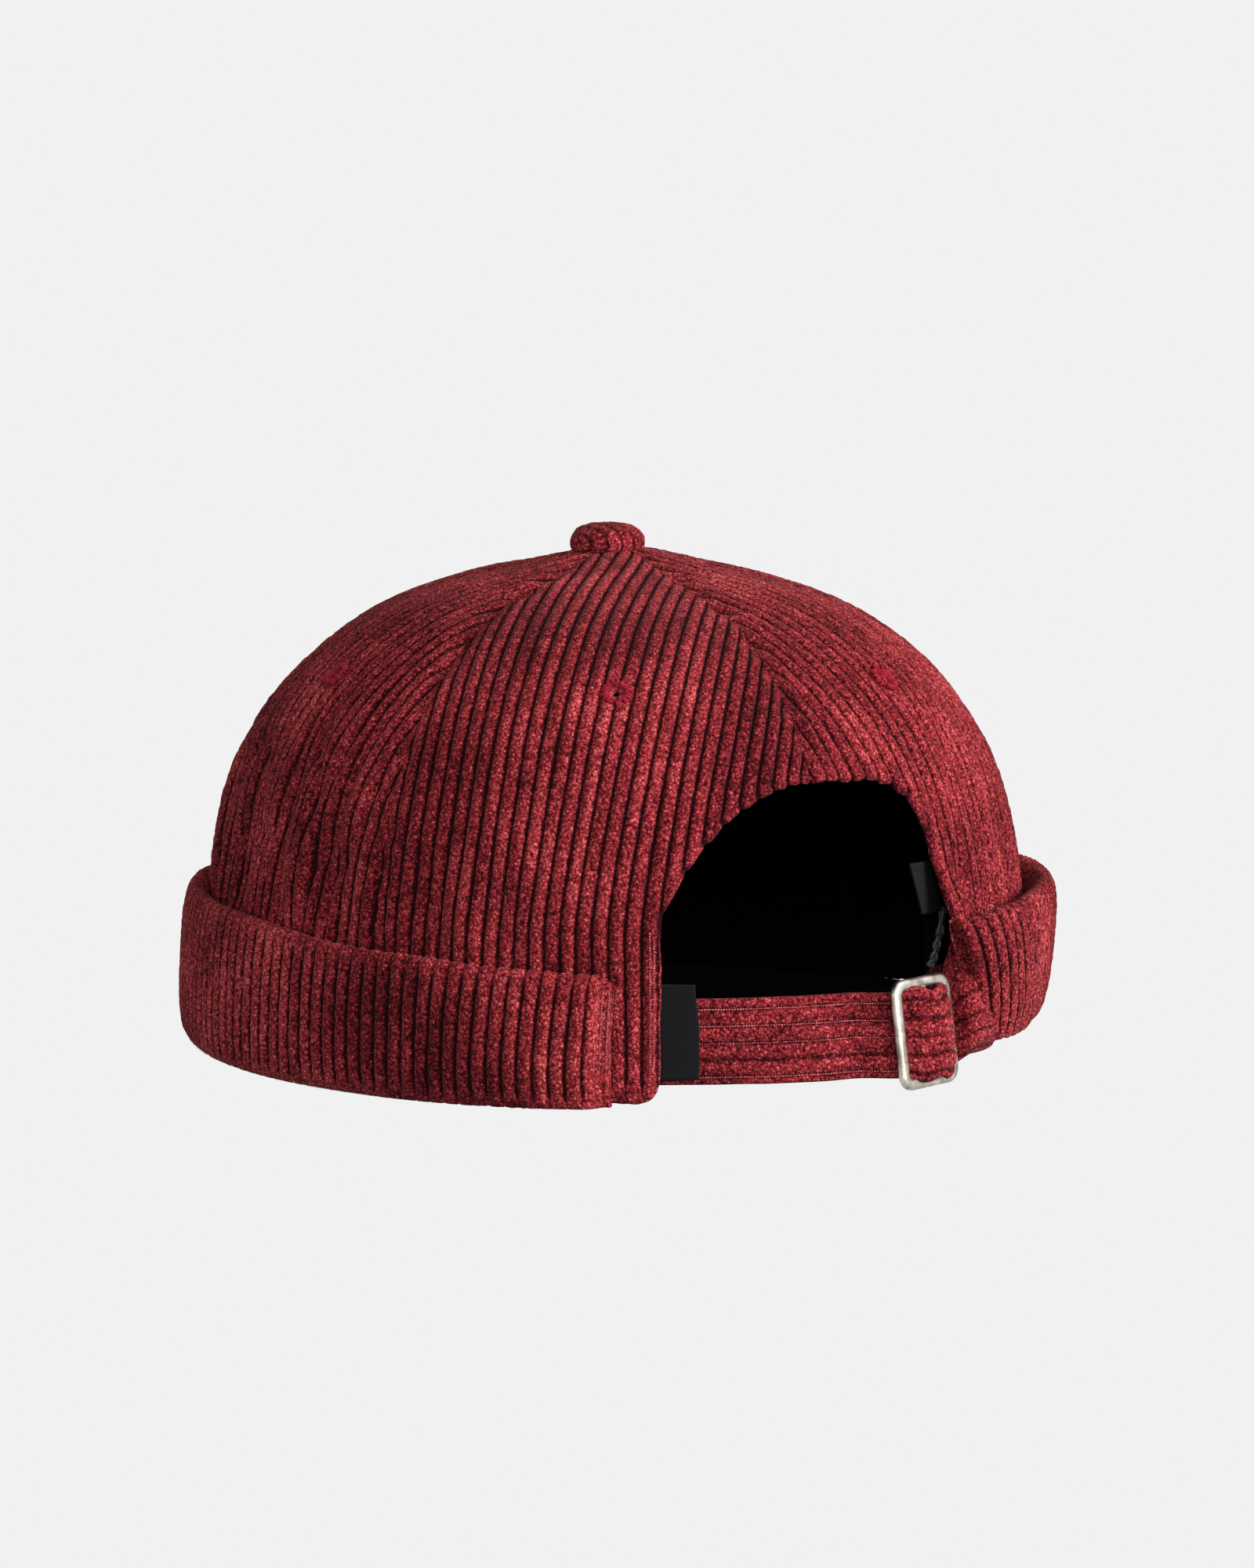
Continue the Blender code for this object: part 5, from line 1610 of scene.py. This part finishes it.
def corduroy():
    """Ribbed pile: painted shade in its valleys, small loops of yarn painted light in their middles and dark
    between them, painted glints, and soft patches of painted light and shade for its brushed nap.
    """
    made, tree = start_look("burgundy_corduroy")
    place = coordinates(tree)
    split = add_node(tree, "SeparateXYZ", Vector=coordinates(tree, "UV"))
    across, along = split.outputs["X"], split.outputs["Y"]
    tufts = noise_texture(tree, place, 1500.0, 2.0, 0.65)
    coarse = noise_texture(tree, place, 560.0, 2.0, 0.6)
    # painted glints: fine bright specks on the loops of pile
    painted_glints = noise_texture(tree, place, 2300.0, 1.0, 0.5)
    # painted light and shade of the brushed nap, in soft patches
    painted_nap_light = noise_texture(tree, place, 34.0, 4.0, 0.60)
    distance, chance = cells(tree, place, PILE_LOOP, 0.8)
    stretched = add_node(
        tree, "CombineXYZ", X=maths(tree, "MULTIPLY", across, 0.9), Y=maths(tree, "MULTIPLY", along, 0.10)
    )
    streaks = noise_texture(tree, stretched.outputs[0], 1.0, 2.0, 0.5)
    # painted shade in the valleys between the wales, with ragged sides
    side = maths(tree, "PINGPONG", across, 0.5)
    side = maths(tree, "MULTIPLY_ADD", maths(tree, "SUBTRACT", coarse, 0.5), VALLEY_FUZZ, side)
    # the faint attribute: how much of the painted shade in the valleys is left out
    faint_valley_shade = add_node(tree, "Attribute")
    faint_valley_shade.attribute_name = "faint"
    shown = maths(tree, "SUBTRACT", 1.0, faint_valley_shade.outputs["Fac"])
    depth = maths(tree, "MULTIPLY", ease_node(tree, side, *VALLEY_SIDES), shown)
    # painted highlight in the middle of each loop of pile and painted shade between the loops
    value = maths(tree, "MULTIPLY_ADD", distance, -0.74, 0.83)
    for layer, weight in ((chance, 0.32), (tufts, 0.85), (coarse, 0.35), (painted_nap_light, 1.0), (streaks, 0.5)):
        value = maths(tree, "MULTIPLY_ADD", maths(tree, "SUBTRACT", layer, 0.5), weight, value)
    # the painted glints lighten the colour
    value = maths(tree, "MULTIPLY_ADD", ease_node(tree, painted_glints, 0.58, 0.74, "LINEAR"), 0.34, value)
    # the painted valley shade darkens the colour
    value = maths(tree, "MULTIPLY_ADD", depth, -0.60, value, clamp=True)
    height = maths(tree, "MULTIPLY_ADD", tufts, 0.8, maths(tree, "MULTIPLY", distance, -0.8))
    return finish_look(
        made,
        value,
        CLOTH_TONES,
        (height, 0.00034, 0.9),
        Roughness=0.92,
        Specular_IOR_Level=0.05,
        Sheen_Weight=0.06,
        Sheen_Roughness=0.45,
        Sheen_Tint=(1.0, 0.42, 0.42, 1.0),
    )


def yarn_look(name):
    """A woven cloth or a thread, by its row in the table of yarns."""
    made, tree = start_look(name)
    (scale, detail, grit), stops, roughness, specular, relief = YARNS[name]
    weave = noise_texture(tree, coordinates(tree), scale, detail, grit)
    relief = relief and (weave, *relief)
    return finish_look(made, weave, stops, relief, Roughness=roughness, Specular_IOR_Level=specular)


def metal_look():
    """Softly brushed nickel with handling marks and a little tarnish."""
    made, tree = start_look("brushed_metal")
    place = coordinates(tree)
    stretch = add_node(tree, "Mapping", Vector=place, Scale=(1.0, 1.0, 9.0))
    brushed = noise_texture(tree, stretch.outputs["Vector"], 900.0, 3.0, 0.6)
    clouds = noise_texture(tree, place, 260.0, 3.0, 0.6)
    rough = maths(tree, "MULTIPLY_ADD", brushed, 0.16, maths(tree, "MULTIPLY_ADD", clouds, 0.22, 0.14))
    return finish_look(made, clouds, METAL_TONES, (brushed, 0.00003, 0.5), Metallic=1.0, Roughness=rough)


def twill_look():
    """Black twill with fine slanting ridges."""
    made, tree = start_look("black_twill")
    place = coordinates(tree)
    wave = add_node(tree, "TexWave", Vector=place, Scale=1500.0, Distortion=0.6)
    wave.bands_direction = "DIAGONAL"
    weave = noise_texture(tree, place, 1400.0, 1.0, 0.5)
    height = maths(tree, "MULTIPLY_ADD", weave, 0.6, wave.outputs["Fac"])
    factor = maths(tree, "MULTIPLY", height, 0.62)
    relief = (height, 0.00012, 0.8)
    return finish_look(made, factor, TWILL_TONES, relief, Roughness=0.75, Specular_IOR_Level=0.08)


def stage_look():
    """Even pale paper, lit from itself, with painted shade on it inside the cap."""
    made, tree = start_look("paper")
    tree.nodes.clear()
    split = add_node(tree, "SeparateXYZ", Vector=coordinates(tree))
    x = maths(tree, "SUBTRACT", split.outputs["X"], AXIS[0])
    y = maths(tree, "SUBTRACT", split.outputs["Y"], AXIS[1])
    wide = maths(tree, "DIVIDE", x, OVAL_WIDTH * SHADE_RADIUS)
    long = maths(tree, "DIVIDE", y, OVAL_LENGTH * SHADE_RADIUS)
    reach = maths(tree, "SQRT", maths(tree, "MULTIPLY_ADD", wide, wide, maths(tree, "MULTIPLY", long, long)))
    past = []
    for limit, across, along in SHADE_EDGES:
        past.append(maths(tree, "MULTIPLY_ADD", x, across, maths(tree, "MULTIPLY_ADD", y, along, -limit)))
    clear = ease_node(tree, maths(tree, "MAXIMUM", *past), 0.0, -SHADE_SOFT)
    # painted shade on the floor under the cap, short of the strap and of the cuff's raised side
    shade = maths(tree, "MULTIPLY", ease_node(tree, reach, 1.0, SHADE_RIM), clear)
    glow = add_node(tree, "Emission", Color=ramp(tree, shade, ((0.0, (BACKDROP,) * 3), (1.0, SHADE))))
    add_node(tree, "OutputMaterial", Surface=glow.outputs[0])
    return made


def stage():
    """The pale floor and an even background, which light nothing and take no shadow."""
    world = bpy.context.scene.world or bpy.data.worlds.new("studio")
    bpy.context.scene.world = world
    world.use_nodes = True
    tree = world.node_tree
    set_inputs(tree, tree.nodes["Background"], Color=(BACKDROP, BACKDROP, BACKDROP, 1.0), Strength=1.0)
    world.cycles_visibility.diffuse = False
    mesh = bpy.data.meshes.new("floor")
    corners = [(x * FLOOR_HALF, y * FLOOR_HALF, 0) for x, y in ((-1, -1), (1, -1), (1, 1), (-1, 1))]
    mesh.from_pydata(corners, [], [(0, 1, 2, 3)])
    floor = bpy.data.objects.new("floor", mesh)
    bpy.context.scene.collection.objects.link(floor)
    mesh.materials.append(stage_look())
    floor.visible_diffuse = False
    floor.visible_shadow = False


def camera_axes():
    """Level directions to the right in the photograph and towards the camera."""
    turn = math.radians(CAMERA_AZIMUTH)
    return Vector((-math.cos(turn), math.sin(turn), 0.0)), Vector((math.sin(turn), math.cos(turn), 0.0))


def soft_light(name, right, toward, up, distance, size, power):
    """A round soft light, placed by its direction as the camera sees it."""
    data = bpy.data.lights.new(name, "AREA")
    data.shape = "DISK"
    data.size = size
    data.energy = power
    lamp = bpy.data.objects.new(name, data)
    bpy.context.scene.collection.objects.link(lamp)
    to_right, to_camera = camera_axes()
    way = (to_right * right + to_camera * toward + Vector((0.0, 0.0, up))).normalized()
    lamp.location = Vector(LIGHT_TARGET) + way * distance
    lamp.rotation_euler = (-way).to_track_quat("-Z", "Y").to_euler()


def camera():
    data = bpy.data.cameras.new("photo_camera")
    data.lens = LENS
    data.sensor_width = 36.0
    data.clip_end = 50.0
    made = bpy.data.objects.new("photo_camera", data)
    bpy.context.scene.collection.objects.link(made)
    to_right, to_camera = camera_axes()
    eye = Vector((*AXIS, CAMERA_HEIGHT)) + to_camera * CAMERA_DISTANCE
    aim = Vector((*AXIS, AIM_HEIGHT)) + to_right * AIM_SHIFT
    made.location = eye
    made.rotation_euler = (aim - eye).to_track_quat("-Z", "Y").to_euler()
    bpy.context.scene.camera = made


def main():
    bpy.context.scene.view_settings.view_transform = "Standard"
    cloth = corduroy()
    inside = yarn_look("inner_face")
    for number in range(len(SEAM_AZIMUTHS)):
        crown_panel(number, cloth, inside)
    cuff(cloth)
    button(cloth)
    thread = yarn_look("satin_thread")
    for number in range(len(EYELET_AZIMUTHS)):
        eyelet(number, thread, inside)
    buckle(metal_look())
    strap(cloth)
    seams = yarn_look("stitch_thread")
    strap_stitches(seams)
    crown_stitches(seams)
    cuff_stitches(seams)
    tab(cloth)
    label(twill_look())
    tag(yarn_look("dark_satin"))
    braid(yarn_look("black_braid"))
    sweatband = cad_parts["sweatband"].data.materials
    sweatband.clear()
    sweatband.append(yarn_look("band_weave"))
    stage()
    camera()
    for light in LIGHTS:
        soft_light(*light)


main()
